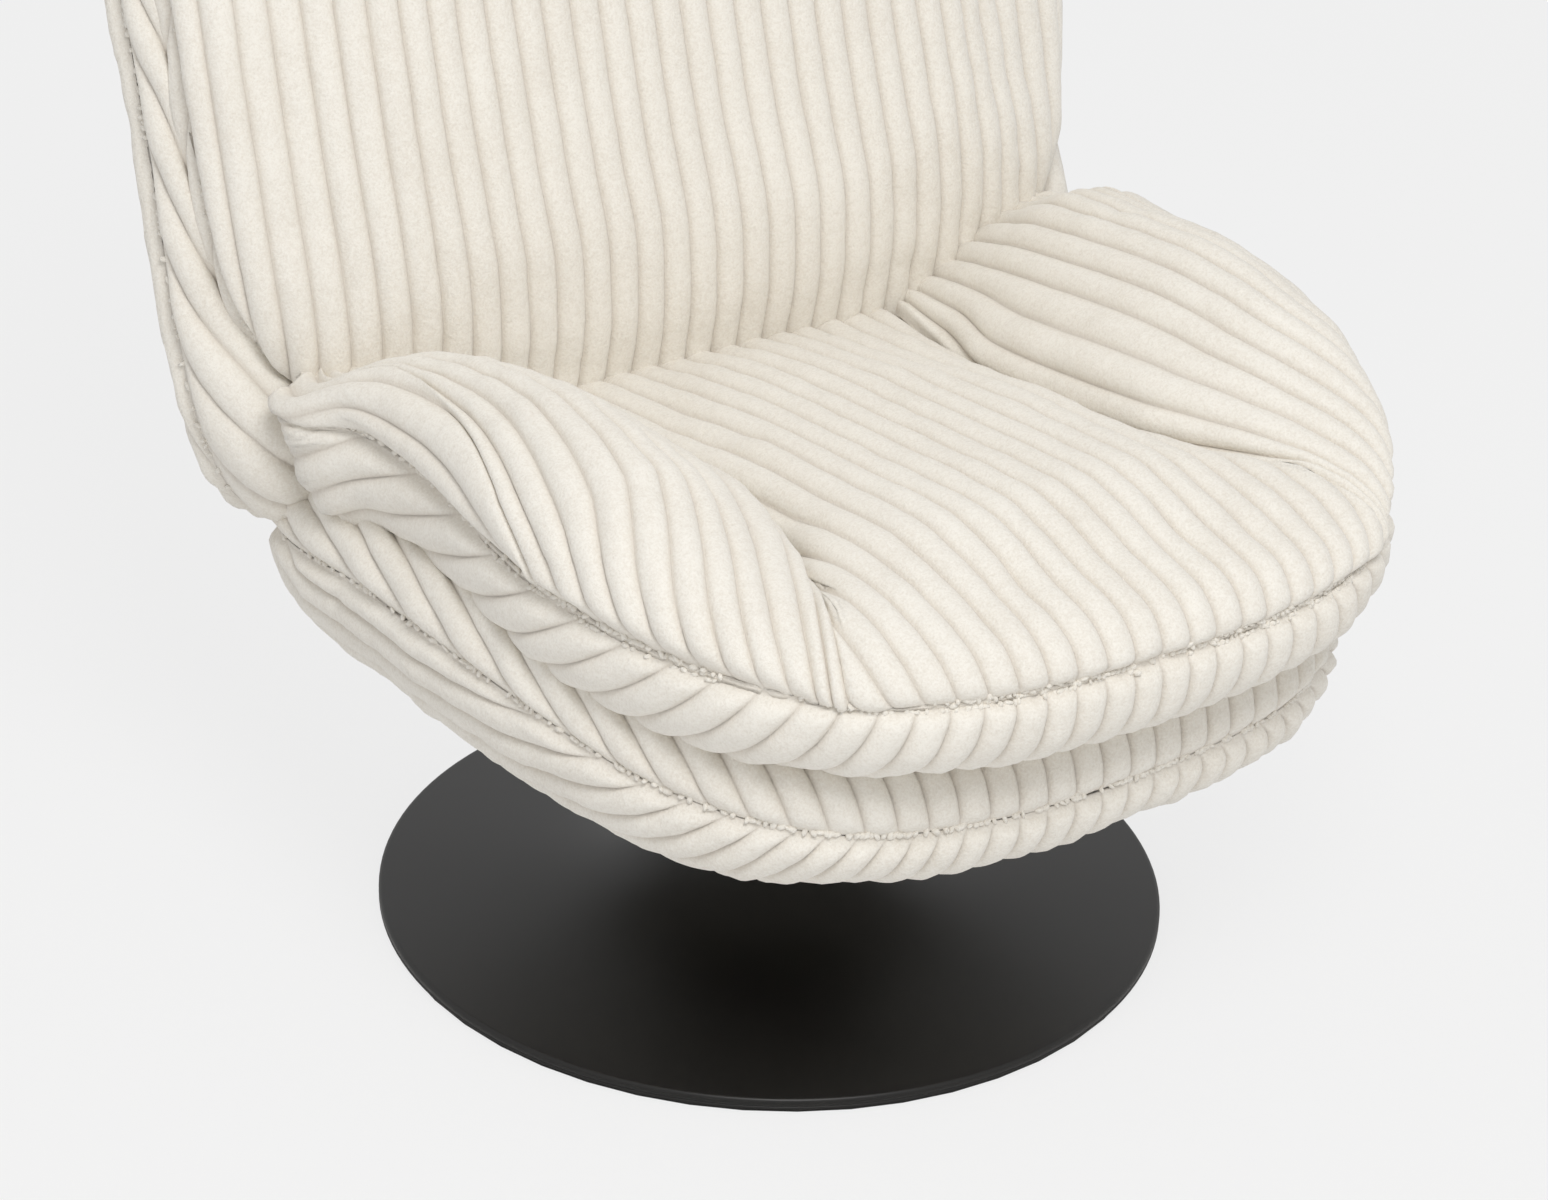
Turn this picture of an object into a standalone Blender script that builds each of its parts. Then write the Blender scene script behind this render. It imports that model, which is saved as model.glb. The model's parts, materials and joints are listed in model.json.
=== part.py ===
# Swivel lounge chair: two padded shells with loose stuffed cushions on a turned trumpet base.
# Metres, +Z up. The seat faces -Y and turns about the Z axis, and the base stands on Z = 0.

import math

import bmesh
import bpy
import numpy as np
from mathutils import Matrix, Vector

# Clearances
REST_GAP = 0.0003        # between pieces that rest on each other
LIP_GAP = 0.0009         # between a padded lip and the shell's edge
RUN_GAP = 0.0001         # radial, between the spindle and its bushes
HOLE_GAP = 0.0004        # radial, between a bolt and its hole

# Trumpet base
BASE_RADIUS = 0.290
BASE_RIM_HEIGHT = 0.008
BASE_RIM_ROUND = 0.003
BASE_WALL = 0.002
BASE_CONE_SLOPE = 0.10
BASE_FLARE_POWER = 6
NECK_RADIUS = 0.032
NECK_HEIGHT = 0.180
PAD_THICKNESS = 0.003
PAD_INSET = 0.002
BALLAST_THICKNESS = 0.0055

# Column and swivel bearing
COLUMN_RADIUS = 0.024
COLUMN_BORE = 0.0205
COLUMN_TOP = 0.185
FLANGE_RADIUS = 0.055
FLANGE_THICKNESS = 0.006
FLANGE_BOLT_CIRCLE = 0.041
SPINDLE_RADIUS = 0.016
SPINDLE_BOTTOM = 0.030
SPINDLE_GROOVE_DEPTH = 0.0015
CLIP_RADIUS = 0.0195
CLIP_THICKNESS = 0.0015
CLIP_HEIGHT = 0.036
BUSH_LENGTH = 0.025
BUSH_COLLAR = 0.003
WASHER_THICKNESS = 0.002

# Swivel plate
HUB_RADIUS = 0.030
PLATE_WIDTH = 0.150
PLATE_THICKNESS = 0.006
PLATE_CORNER = 0.015
PLATE_BOLT_SPACING = 0.110

# Fasteners
BOLT_RADIUS = 0.004
BOLT_HEAD_RADIUS = 0.0075
BOLT_HEAD_HEIGHT = 0.004
TEE_BARREL_RADIUS = 0.0065
TEE_FLANGE_RADIUS = 0.011
TEE_FLANGE_THICKNESS = 0.003

# Shells
PLY_THICKNESS = 0.010
COVER_THICKNESS = 0.014
BOWL_POWER = 2.5
FLOOR_SHARE = 0.34
RIM_BAND = 0.006
LINING = 0.0012

# Seat shell
SHELL_HALF_WIDTH = 0.332
SHELL_CENTRE_Y = 0.064
SHELL_FRONT = 0.440
SHELL_REAR = 0.194
SHELL_POWER = 3.2
SHELL_FLOOR = 0.209
SHELL_RIM_FRONT = 0.275
SHELL_RIM_SLOPE = 0.349
SHELL_RIM_BEND = 0.539
SEAT_LIP = 0.040
SEAT_LIP_DEPTH = 0.044
SEAT_LIP_PAST = 1

# Seat cushion
SEAT_HALF_WIDTH = 0.335
SEAT_CENTRE_Y = 0.060
SEAT_FRONT = 0.487
SEAT_REAR = 0.122
SEAT_FRONT_POWER = 3.1
SEAT_REAR_POWER = 4.0
SEAT_SEAM_FRONT = 0.403
SEAT_SEAM_SLOPE = 0.10
SEAT_CROWN_FRONT = 0.042
SEAT_CROWN_Y = -0.33
SEAT_CROWN_FALL = 0.225
SEAT_ROLL_POWER = 10.0
ARM_HEIGHT = 0.100
ARM_PEAK_Y = -0.186
ARM_FRONT_SPAN = 0.270
ARM_FRONT_POWER = 2.5
ARM_REAR_SPAN = 0.300
ARM_REAR_POWER = 2.0
ARM_RISE = 0.100
CREASE_X = 0.176
CREASE_TAPER = 0.044
CREASE_WIDTH = 0.013
CREASE_DEPTH = 0.014
CREASE_SPAN = 0.25
BOXING_HEIGHT = 0.092
BOXING_INNER = 0.88
SEAT_LEAVES_LIP = 0.76
SEAT_MEETS_FLOOR = 0.50

# Back shell and back cushion, in a plane that leans back from BACK_FOOT
BACK_FOOT_Y = 0.158
BACK_FOOT_Z = 0.440
BACK_LEAN = math.radians(16)
BACK_CENTRE = 0.270
BACK_SHELL_HALF_WIDTH = 0.374
BACK_SHELL_DOWN = 0.400
BACK_SHELL_UP = 0.325
BACK_SHELL_FLOOR = -0.095
BACK_RIM_TOP = -0.045
BACK_RIM_TURN = -0.06
BACK_RIM_DEEPEST = -0.058
BACK_LOW_POWER = 7.5
BACK_HIGH_POWER = 2.5
BACK_LIP = 0.028
BACK_LIP_DEPTH = 0.032
BACK_LIP_PAST = 6
BACK_HALF_WIDTH = 0.362
BACK_DOWN = 0.355
BACK_UP = 0.300
BACK_CUSHION_LOW_POWER = 3.8
BACK_CROWN = 0.050
BACK_BOXING = 0.016
BACK_LEAVES_LIP = 0.74
BACK_MEETS_SHELL = 0.58
BACK_ROLL_POWER = 6.0

# Back brackets
BRACKET_X = 0.110
BRACKET_WIDTH = 0.040
BRACKET_THICKNESS = 0.004
BRACKET_BOLT_SPACING = 0.022
BRACKET_BOLT_SHARE = 0.25
BRACKET_FOOT_Y = 0.142
BRACKET_HEEL_Y = 0.170
BRACKET_LOW = -0.165
BRACKET_HIGH = 0.0

# Facets
ROUND_STEPS = 48
SMALL_STEPS = 32
BOLT_STEPS = 12
SHELL_SPOKES = 44
LIP_POINTS = 9
LIP_END_SPOKES = 2.0
LIP_END_SHARE = 0.05

# Heights that follow from the stack on the swivel axis
PAD_TOP = PAD_THICKNESS
PLATE_LEVEL = PAD_TOP + REST_GAP
BALLAST_TOP = PLATE_LEVEL + BALLAST_THICKNESS
COLUMN_BOTTOM = BALLAST_TOP + REST_GAP
COLLAR_BOTTOM = COLUMN_TOP + REST_GAP
WASHER_BOTTOM = COLLAR_BOTTOM + BUSH_COLLAR + REST_GAP
HUB_BOTTOM = WASHER_BOTTOM + WASHER_THICKNESS + REST_GAP
PLY_BOTTOM = SHELL_FLOOR + COVER_THICKNESS + REST_GAP
PLY_TOP = PLY_BOTTOM + PLY_THICKNESS
PLATE_TOP = PLY_BOTTOM - REST_GAP
PLATE_BOTTOM = PLATE_TOP - PLATE_THICKNESS
SPINDLE_TOP = PLATE_BOTTOM
TEE_FLANGE_BOTTOM = PLY_TOP + REST_GAP
TEE_FLANGE_TOP = TEE_FLANGE_BOTTOM + TEE_FLANGE_THICKNESS
SEAT_UNDERSIDE = TEE_FLANGE_TOP + REST_GAP
BACK_CUSHION_REAR = BACK_SHELL_FLOOR + PLY_THICKNESS + REST_GAP

CREAM = (0.80, 0.76, 0.69, 1.0)
PLYWOOD = (0.62, 0.45, 0.27, 1.0)
SATIN_BLACK = (0.012, 0.011, 0.010, 1.0)
STEEL = (0.55, 0.55, 0.56, 1.0)
ACETAL = (0.85, 0.84, 0.80, 1.0)
FELT = (0.02, 0.02, 0.02, 1.0)


def remove_everything():
    for item in list(bpy.data.objects):
        bpy.data.objects.remove(item, do_unlink=True)


def new_collection(name):
    group = bpy.data.collections.new(name)
    bpy.context.scene.collection.children.link(group)
    return group


def finish(name, colour, roughness, metallic):
    made = bpy.data.materials.new(name)
    made.use_nodes = True
    shader = made.node_tree.nodes["Principled BSDF"]
    shader.inputs["Base Color"].default_value = colour
    shader.inputs["Roughness"].default_value = roughness
    shader.inputs["Metallic"].default_value = metallic
    return made


remove_everything()
CHAIR = new_collection("accent_chair")
CUTTERS = new_collection("accent_chair_cutters")
CUTTERS.hide_render = True

SWIVEL = bpy.data.objects.new("swivel_axis", None)
CHAIR.objects.link(SWIVEL)

PLUSH = finish("corduroy_plush", CREAM, 0.95, 0.0)
WOOD = finish("moulded_plywood", PLYWOOD, 0.6, 0.0)
BLACK = finish("satin_black_steel", SATIN_BLACK, 0.38, 0.0)
ZINC = finish("zinc_steel", STEEL, 0.35, 1.0)
PLASTIC = finish("bush_acetal", ACETAL, 0.45, 0.0)
FELT_PAD = finish("felt_pad", FELT, 0.95, 0.0)


def add_piece(name, mesh, material, turns):
    piece = bpy.data.objects.new(name, mesh)
    mesh.materials.append(material)
    CHAIR.objects.link(piece)
    if turns:
        piece.parent = SWIVEL
    return piece


def add_cutter(name, mesh):
    cutter = bpy.data.objects.new(name, mesh)
    cutter.hide_render = True
    cutter.display_type = "WIRE"
    CUTTERS.objects.link(cutter)
    return cutter


def boolean(piece, cutter, operation="DIFFERENCE"):
    step = piece.modifiers.new(operation.lower(), "BOOLEAN")
    step.operation = operation
    step.solver = "EXACT"
    step.object = cutter


def mesh_from(name, points, faces):
    mesh = bpy.data.meshes.new(name)
    mesh.from_pydata([tuple(point) for point in points], [], faces)
    mesh.update()
    return mesh


def smooth(mesh, degrees=40):
    mesh.shade_smooth()
    mesh.set_sharp_from_angle(angle=math.radians(degrees))


def turned(name, profile, material, turns, steps):
    # The profile lists radius and height down the outer side, and back up the bore where there is one.
    hollow = profile[0][0] > 0
    points = [(radius, 0.0, height) for radius, height in profile]
    mesh = bpy.data.meshes.new(name)
    edges = [(i, i + 1) for i in range(len(points) - 1)]
    if hollow:
        edges.append((len(points) - 1, 0))
    mesh.from_pydata(points, edges, [])
    piece = add_piece(name, mesh, material, turns)
    spin = piece.modifiers.new("turn", "SCREW")
    spin.steps = steps
    spin.render_steps = steps
    spin.use_merge_vertices = True
    spin.merge_threshold = 0.00001
    spin.use_smooth_shade = True
    return piece


def cylinder_mesh(name, radius, length, place, steps):
    mesh = bpy.data.meshes.new(name)
    made = bmesh.new()
    bmesh.ops.create_cone(made, cap_ends=True, segments=steps, radius1=radius, radius2=radius, depth=length)
    bmesh.ops.transform(made, matrix=place, verts=made.verts)
    made.to_mesh(mesh)
    made.free()
    return mesh


def along(origin, direction):
    # Turns the local Z axis to a direction and moves the origin.
    return Matrix.Translation(origin) @ Vector(direction).to_track_quat("Z", "Y").to_matrix().to_4x4()


def smooth_step(low, high, value):
    share = np.clip((value - low) / (high - low), 0.0, 1.0)
    return share * share * (3.0 - 2.0 * share)


class Outline:
    # A rounded closed outline: two superellipse halves that meet on the line at its centre.

    def __init__(self, half_width, centre, before, after, before_power, after_power):
        self.half_width = half_width
        self.centre = centre
        self.before = before
        self.after = after
        self.before_power = before_power
        self.after_power = after_power

    def inset(self, distance):
        return Outline(
            self.half_width - distance,
            self.centre,
            self.before - distance,
            self.after - distance,
            self.before_power,
            self.after_power,
        )

    def point(self, angle):
        cosine, sine = np.cos(angle), np.sin(angle)
        power = np.where(sine < 0, self.before_power, self.after_power)
        reach = np.where(sine < 0, self.before, self.after)
        across = self.half_width * np.sign(cosine) * np.abs(cosine) ** (2.0 / power)
        lengthwise = self.centre + reach * np.sign(sine) * np.abs(sine) ** (2.0 / power)
        return across, lengthwise

    def radius(self, across, lengthwise):
        # 0 at the centre and 1 on the outline.
        offset = lengthwise - self.centre
        power = np.where(offset < 0, self.before_power, self.after_power)
        reach = np.where(offset < 0, self.before, self.after)
        share = np.abs(across / self.half_width) ** power + np.abs(offset / reach) ** power
        return share ** (1.0 / power)

    def from_square(self, u, v):
        # Maps a square grid from -1 to 1 onto the outline's inside.
        power = np.where(v < 0, self.before_power, self.after_power)
        reach = np.where(v < 0, self.before, self.after)
        ring = np.maximum(np.abs(u), np.abs(v))
        length = np.maximum((np.abs(u) ** power + np.abs(v) ** power) ** (1.0 / power), 1e-9)
        return self.half_width * u * ring / length, self.centre + reach * v * ring / length, ring


SHELL_OUTLINE = Outline(SHELL_HALF_WIDTH, SHELL_CENTRE_Y, SHELL_FRONT, SHELL_REAR, SHELL_POWER, SHELL_POWER)
SEAT_OUTLINE = Outline(
    SEAT_HALF_WIDTH, SEAT_CENTRE_Y, SEAT_FRONT, SEAT_REAR, SEAT_FRONT_POWER, SEAT_REAR_POWER
)
BACK_SHELL_OUTLINE = Outline(
    BACK_SHELL_HALF_WIDTH, BACK_CENTRE, BACK_SHELL_DOWN, BACK_SHELL_UP, BACK_LOW_POWER, BACK_HIGH_POWER
)
BACK_OUTLINE = Outline(
    BACK_HALF_WIDTH, BACK_CENTRE, BACK_DOWN, BACK_UP, BACK_CUSHION_LOW_POWER, BACK_HIGH_POWER
)
BACK_RISE = np.array((0.0, math.sin(BACK_LEAN), math.cos(BACK_LEAN)))
BACK_FACING = np.array((0.0, -math.cos(BACK_LEAN), math.sin(BACK_LEAN)))
BACK_FOOT = np.array((0.0, BACK_FOOT_Y, BACK_FOOT_Z))


def seat_place(across, lengthwise, height):
    return np.stack([across, lengthwise, height], axis=-1)


def back_place(across, lengthwise, height):
    sideways = np.stack([across, np.zeros_like(across), np.zeros_like(across)], axis=-1)
    return BACK_FOOT + sideways + lengthwise[..., None] * BACK_RISE + height[..., None] * BACK_FACING


def shell_rim(y):
    # Rises from the front to the arms, then falls away under the back shell.
    travel = y - (SHELL_CENTRE_Y - SHELL_FRONT)
    return SHELL_RIM_FRONT + SHELL_RIM_SLOPE * travel - SHELL_RIM_BEND * travel * travel


def back_rim(rise):
    # The edge stands forward at the sides and top and sinks to the panel at the foot.
    foot = BACK_CENTRE - BACK_SHELL_DOWN
    return BACK_RIM_DEEPEST + (BACK_RIM_TOP - BACK_RIM_DEEPEST) * smooth_step(foot, BACK_RIM_TURN, rise)


class Bowl:
    # The surface where a plywood shell and its cover meet: an upright band below the rim, a rounded wall
    # and a flat floor. Rings shrink towards the hub, which lies on the floor's middle.

    SHARES = (1.0, 1.0, 0.975, 0.91, 0.80, 0.64, FLOOR_SHARE)

    def __init__(self, outline, rim, floor, hub, place):
        self.outline = outline.inset(COVER_THICKNESS + REST_GAP)
        self.rim = rim
        self.floor = floor
        self.hub = hub
        self.place = place

    def centre(self, share):
        towards = np.clip((1.0 - share) / (1.0 - FLOOR_SHARE), 0.0, 1.0)
        return self.outline.centre + (self.hub - self.outline.centre) * towards

    def drop(self, share):
        # 0 under the upright band and 1 on the floor, in straight runs between the rings.
        rings = np.array(self.SHARES[:0:-1])
        rounded = (rings - FLOOR_SHARE) / (1.0 - FLOOR_SHARE)
        falls = np.maximum(1.0 - rounded**BOWL_POWER, 0.0) ** (1.0 / BOWL_POWER)
        return np.interp(share, rings, falls)

    def ring(self, angles, index):
        share = self.SHARES[index]
        across, lengthwise = self.outline.point(angles)
        top = self.rim(lengthwise)
        if index > 0:
            top = top - RIM_BAND
            top = top - (top - self.floor) * self.drop(share)
        return across * share, self.centre(share) + (lengthwise - self.outline.centre) * share, top

    def height(self, across, lengthwise):
        share = np.ones_like(across)
        for _ in range(30):
            shifted_back = lengthwise - self.centre(share) + self.outline.centre
            share = np.clip(self.outline.radius(across, shifted_back), 1e-6, 1.0)
        edge = self.outline.centre + (lengthwise - self.centre(share)) / share
        top = self.rim(edge) - RIM_BAND
        return top - (top - self.floor) * self.drop(share)

    def lining(self, across, lengthwise, distance):
        # Height of a surface this far inside, square to the bowl.
        step = 0.002
        here = self.height(across, lengthwise)
        rise_a = self.height(across + step, lengthwise) - self.height(across - step, lengthwise)
        rise_b = self.height(across, lengthwise + step) - self.height(across, lengthwise - step)
        return here + distance * np.sqrt(1.0 + (rise_a**2 + rise_b**2) / (2 * step) ** 2)

    def mesh(self, name):
        angles = spoke_angles()
        count = len(angles)
        rings = [self.place(*self.ring(angles, index)) for index in range(len(self.SHARES))]
        points = np.concatenate(rings)
        faces = []
        for row in range(len(self.SHARES) - 1):
            for spoke in range(count):
                after = (spoke + 1) % count
                start = row * count
                below = start + count
                faces.append((start + spoke, start + after, below + after, below + spoke))
        last = (len(self.SHARES) - 1) * count
        faces.append(tuple(range(last, last + count)))
        return mesh_from(name, points, faces)


def spoke_angles():
    return np.linspace(0.0, 2.0 * math.pi, SHELL_SPOKES, endpoint=False)


def shifted(mesh, name, distance):
    # A copy of an open surface, moved along its own normals.
    copy = mesh.copy()
    copy.name = name
    normals = [vertex.normal.copy() for vertex in mesh.vertices]
    for vertex, normal in zip(copy.vertices, normals):
        vertex.co += normal * distance
    return copy


def thicken(piece, thickness, side):
    shell = piece.modifiers.new("thickness", "SOLIDIFY")
    shell.thickness = thickness
    shell.offset = side
    shell.use_even_offset = True


def make_shell(name, cover_name, bowl):
    # Plywood inside, padded cover outside, both from the surface where they meet.
    surface = bowl.mesh(name)
    smooth(surface, 60)
    skin = shifted(surface, cover_name, -REST_GAP)
    ply = add_piece(name, surface, WOOD, True)
    thicken(ply, PLY_THICKNESS, 1.0)
    cover = add_piece(cover_name, skin, PLUSH, True)
    thicken(cover, COVER_THICKNESS, -1.0)
    return ply, cover


def lip_section():
    # Padded roll, fuller on its inner side: share of the way in, and share of the height.
    section = []
    for angle in np.linspace(0.0, math.pi, LIP_POINTS):
        fullness = 1.0 if angle < math.pi / 2 else 0.5
        section.append((0.5 - 0.5 * math.cos(angle), max(math.sin(angle), 0.0) ** fullness))
    return section


def lip_mesh(name, bowl, height, depth, first, last, grown=0.0):
    # A roll standing on the shell's edge from one spoke to another, with rounded ends.
    angles = spoke_angles()
    base = np.stack(bowl.outline.point(angles), axis=-1)
    run = np.roll(base, -1, axis=0) - base
    run /= np.linalg.norm(run, axis=1)[:, None]
    bend = run + np.roll(run, 1, axis=0)
    normal = np.stack([bend[:, 1], -bend[:, 0]], axis=-1)
    normal /= np.linalg.norm(normal, axis=1)[:, None]
    section = lip_section()
    spokes = list(range(first, last + 1))
    points = []
    for spoke in spokes:
        here = spoke % SHELL_SPOKES
        from_end = min(spoke - first, last - spoke) / LIP_END_SPOKES
        taper = math.sqrt(max(1.0 - max(1.0 - from_end, 0.0) ** 2, LIP_END_SHARE))
        level = bowl.rim(base[here, 1]) + LIP_GAP - grown
        lift = height * taper + 2 * grown
        for inward, share in section:
            reach = COVER_THICKNESS + REST_GAP + grown - (depth + 2 * grown) * inward
            flat = base[here] + normal[here] * reach
            points.append(bowl.place(flat[0], flat[1], np.array(level + lift * share)))
    count = len(section)
    faces = []
    for row in range(len(spokes) - 1):
        for step in range(count):
            after = (step + 1) % count
            start = row * count
            faces.append((start + step, start + after, start + count + after, start + count + step))
    faces.append(tuple(range(count))[::-1])
    faces.append(tuple(range((len(spokes) - 1) * count, len(spokes) * count)))
    return facing_out(mesh_from(name, points, faces))


def facing_out(mesh):
    made = bmesh.new()
    made.from_mesh(mesh)
    bmesh.ops.recalc_face_normals(made, faces=made.faces)
    made.to_mesh(mesh)
    made.free()
    smooth(mesh, 60)
    return mesh


def pillow_mesh(name, outline, over, under, columns, rows, place, lean=0.0, lean_from=0.0):
    # Two panels over the same outline, sewn together along it. Lean tilts the columns between the middle
    # and the sides, so that they run along a slanting crease.
    u, v = np.meshgrid(np.array(columns), np.array(rows), indexing="ij")
    across, lengthwise, ring = outline.from_square(u, v)
    slant = np.sin(math.pi * np.abs(across) / outline.half_width) * (1.0 - ring**6)
    across = across - np.sign(across) * lean * slant * (lengthwise - lean_from)
    ring = outline.radius(across, lengthwise)
    top = place(*over(across, lengthwise, ring))
    low = place(*under(across, lengthwise, ring))
    count_u, count_v = u.shape
    upper = {}
    lower = {}
    points = []
    for i in range(count_u):
        for j in range(count_v):
            upper[i, j] = len(points)
            lower[i, j] = len(points)
            points.append(top[i, j])
            if 0 < i < count_u - 1 and 0 < j < count_v - 1:
                lower[i, j] = len(points)
                points.append(low[i, j])
    faces = []
    for i in range(count_u - 1):
        for j in range(count_v - 1):
            corners = [(i, j), (i + 1, j), (i + 1, j + 1), (i, j + 1)]
            if 2 * i >= count_u - 1:
                corners = corners[1:] + corners[:1]
            for half in (corners[:3], [corners[0]] + corners[2:]):
                faces.append(tuple(upper[corner] for corner in half))
                faces.append(tuple(lower[corner] for corner in reversed(half)))
    return facing_out(mesh_from(name, points, faces))


def mirrored(values):
    return sorted([-value for value in values if value > 0] + list(values))


def roll(ring, power):
    # Full inside, falling steeply to nothing at the outline, as a stuffed edge does.
    return np.sqrt(np.maximum(1.0 - np.clip(ring, 0.0, 1.0) ** power, 0.0))


def dip(ring, leaves, meets):
    # 0 where a cushion lies on the lip and 1 where it has sunk to the shell.
    return 1.0 - smooth_step(meets, leaves, ring)


def boxed(ring, inner):
    # Side of a stuffed edge: 0 on the seam and 1 on its lowest turn.
    edge = np.clip((ring - inner) / (1.0 - inner), 0.0, 1.0)
    return np.sqrt(1.0 - edge * edge)


def back_over(across, rise, ring):
    return across, rise, BACK_CROWN * roll(ring, BACK_ROLL_POWER)


def back_under(across, rise, ring):
    boxing = -BACK_BOXING * boxed(ring, BOXING_INNER)
    rear = boxing + (BACK_CUSHION_REAR - boxing) * dip(ring, BACK_LEAVES_LIP, BACK_MEETS_SHELL)
    return across, rise, np.maximum(rear, BACK_BOWL.lining(across, rise, PLY_THICKNESS + LINING))


def back_room_over(across, rise, ring):
    # The back cushion with a little air round it, for the hollow it presses into the seat cushion.
    return across, rise, back_over(across, rise, ring)[2] + 2 * REST_GAP * roll(ring, BACK_ROLL_POWER)


def back_room_under(across, rise, ring):
    return across, rise, back_under(across, rise, ring)[2] - 2 * REST_GAP * roll(ring, BACK_ROLL_POWER)


def seat_seam(y):
    return SEAT_SEAM_FRONT + SEAT_SEAM_SLOPE * (y - SEAT_CENTRE_Y + SEAT_FRONT)


def seat_over(across, y, ring):
    centre = SEAT_CROWN_FRONT - SEAT_CROWN_FALL * (y - SEAT_CROWN_Y)
    from_peak = y - ARM_PEAK_Y
    ahead = np.clip(-from_peak / ARM_FRONT_SPAN, 0.0, None) ** ARM_FRONT_POWER
    behind = np.clip(from_peak / ARM_REAR_SPAN, 0.0, None) ** ARM_REAR_POWER
    arm = np.maximum(ARM_HEIGHT * (1.0 - ahead - behind) - centre, 0.0)
    outside = np.abs(across) - CREASE_X + CREASE_TAPER * from_peak
    side = smooth_step(0.0, ARM_RISE, outside)
    groove = CREASE_DEPTH * np.exp(-((outside / CREASE_WIDTH) ** 2))
    groove = groove * np.maximum(1.0 - (from_peak / CREASE_SPAN) ** 2, 0.0)
    return across, y, seat_seam(y) + roll(ring, SEAT_ROLL_POWER) * (centre + arm * side - groove)


def seat_under(across, y, ring):
    boxing = seat_seam(y) - BOXING_HEIGHT * boxed(ring, BOXING_INNER)
    z = boxing + (SEAT_UNDERSIDE - boxing) * dip(ring, SEAT_LEAVES_LIP, SEAT_MEETS_FLOOR)
    return across, y, np.maximum(z, SEAT_BOWL.lining(across, y, PLY_THICKNESS + LINING))


SEAT_BOWL = Bowl(SHELL_OUTLINE, shell_rim, PLY_BOTTOM, 0.0, seat_place)
BACK_BOWL = Bowl(BACK_SHELL_OUTLINE, back_rim, BACK_SHELL_FLOOR, BACK_CENTRE, back_place)


def make_base():
    pad = [
        (0.0, PAD_TOP),
        (BASE_RADIUS - PAD_INSET, PAD_TOP),
        (BASE_RADIUS - PAD_INSET, 0.0),
        (0.0, 0.0),
    ]
    turned("floor_pad", pad, FELT_PAD, False, ROUND_STEPS)

    plate_radius = BASE_RADIUS - BASE_WALL - REST_GAP
    plate = [
        (0.0, BALLAST_TOP),
        (plate_radius, BALLAST_TOP),
        (plate_radius, PLATE_LEVEL),
        (0.0, PLATE_LEVEL),
    ]
    ballast = turned("ballast_plate", plate, ZINC, False, ROUND_STEPS)
    turned("base_cover", trumpet_profile(), BLACK, False, ROUND_STEPS)

    column = [
        (COLUMN_RADIUS, COLUMN_TOP),
        (COLUMN_RADIUS, COLUMN_BOTTOM + FLANGE_THICKNESS),
        (FLANGE_RADIUS, COLUMN_BOTTOM + FLANGE_THICKNESS),
        (FLANGE_RADIUS, COLUMN_BOTTOM),
        (COLUMN_BORE, COLUMN_BOTTOM),
        (COLUMN_BORE, COLUMN_TOP),
    ]
    tube = turned("column_tube", column, ZINC, False, SMALL_STEPS)

    head_level = COLUMN_BOTTOM + FLANGE_THICKNESS + REST_GAP
    for index in range(4):
        angle = math.radians(45 + 90 * index)
        spot = (FLANGE_BOLT_CIRCLE * math.cos(angle), FLANGE_BOLT_CIRCLE * math.sin(angle), head_level)
        reach = head_level - PLATE_LEVEL - REST_GAP
        bolt(f"column_bolt_{index + 1}", spot, (0, 0, 1), reach, False)
        hole = bolt_hole(f"column_hole_{index + 1}", spot, (0, 0, 1), 3 * reach)
        boolean(tube, hole)
        boolean(ballast, hole)


def trumpet_profile():
    # Outer side from the neck down the flare to the rolled rim, then the inner side back up.
    rim_top = PLATE_LEVEL + BASE_RIM_HEIGHT
    span = BASE_RADIUS - BASE_RIM_ROUND - NECK_RADIUS
    flare = NECK_HEIGHT - rim_top - BASE_CONE_SLOPE * span
    outer = []
    for share in (1.0, 0.985, 0.96, 0.92, 0.86, 0.78, 0.66, 0.45, 0.2, 0.0):
        height = rim_top + BASE_CONE_SLOPE * span * share + flare * share**BASE_FLARE_POWER
        outer.append((BASE_RADIUS - BASE_RIM_ROUND - span * share, height))
    for step in (1, 2, 3):
        angle = math.radians(30 * step)
        outer.append(
            (
                BASE_RADIUS - BASE_RIM_ROUND * (1 - math.sin(angle)),
                rim_top - BASE_RIM_ROUND * (1 - math.cos(angle)),
            )
        )
    outer.append((BASE_RADIUS, PLATE_LEVEL))
    return outer + offset_inward(outer, BASE_WALL)[::-1]


def offset_inward(points, distance):
    # Shifts a profile to its inner side by a wall, square to its own direction.
    count = len(points)
    moved = []
    for index, (radius, height) in enumerate(points):
        before = points[max(index - 1, 0)]
        after = points[min(index + 1, count - 1)]
        run = Vector((after[0] - before[0], after[1] - before[1])).normalized()
        moved.append((radius + run.y * distance, height - run.x * distance))
    moved[0] = (moved[0][0], points[0][1])
    moved[-1] = (moved[-1][0], points[-1][1])
    return moved


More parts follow.
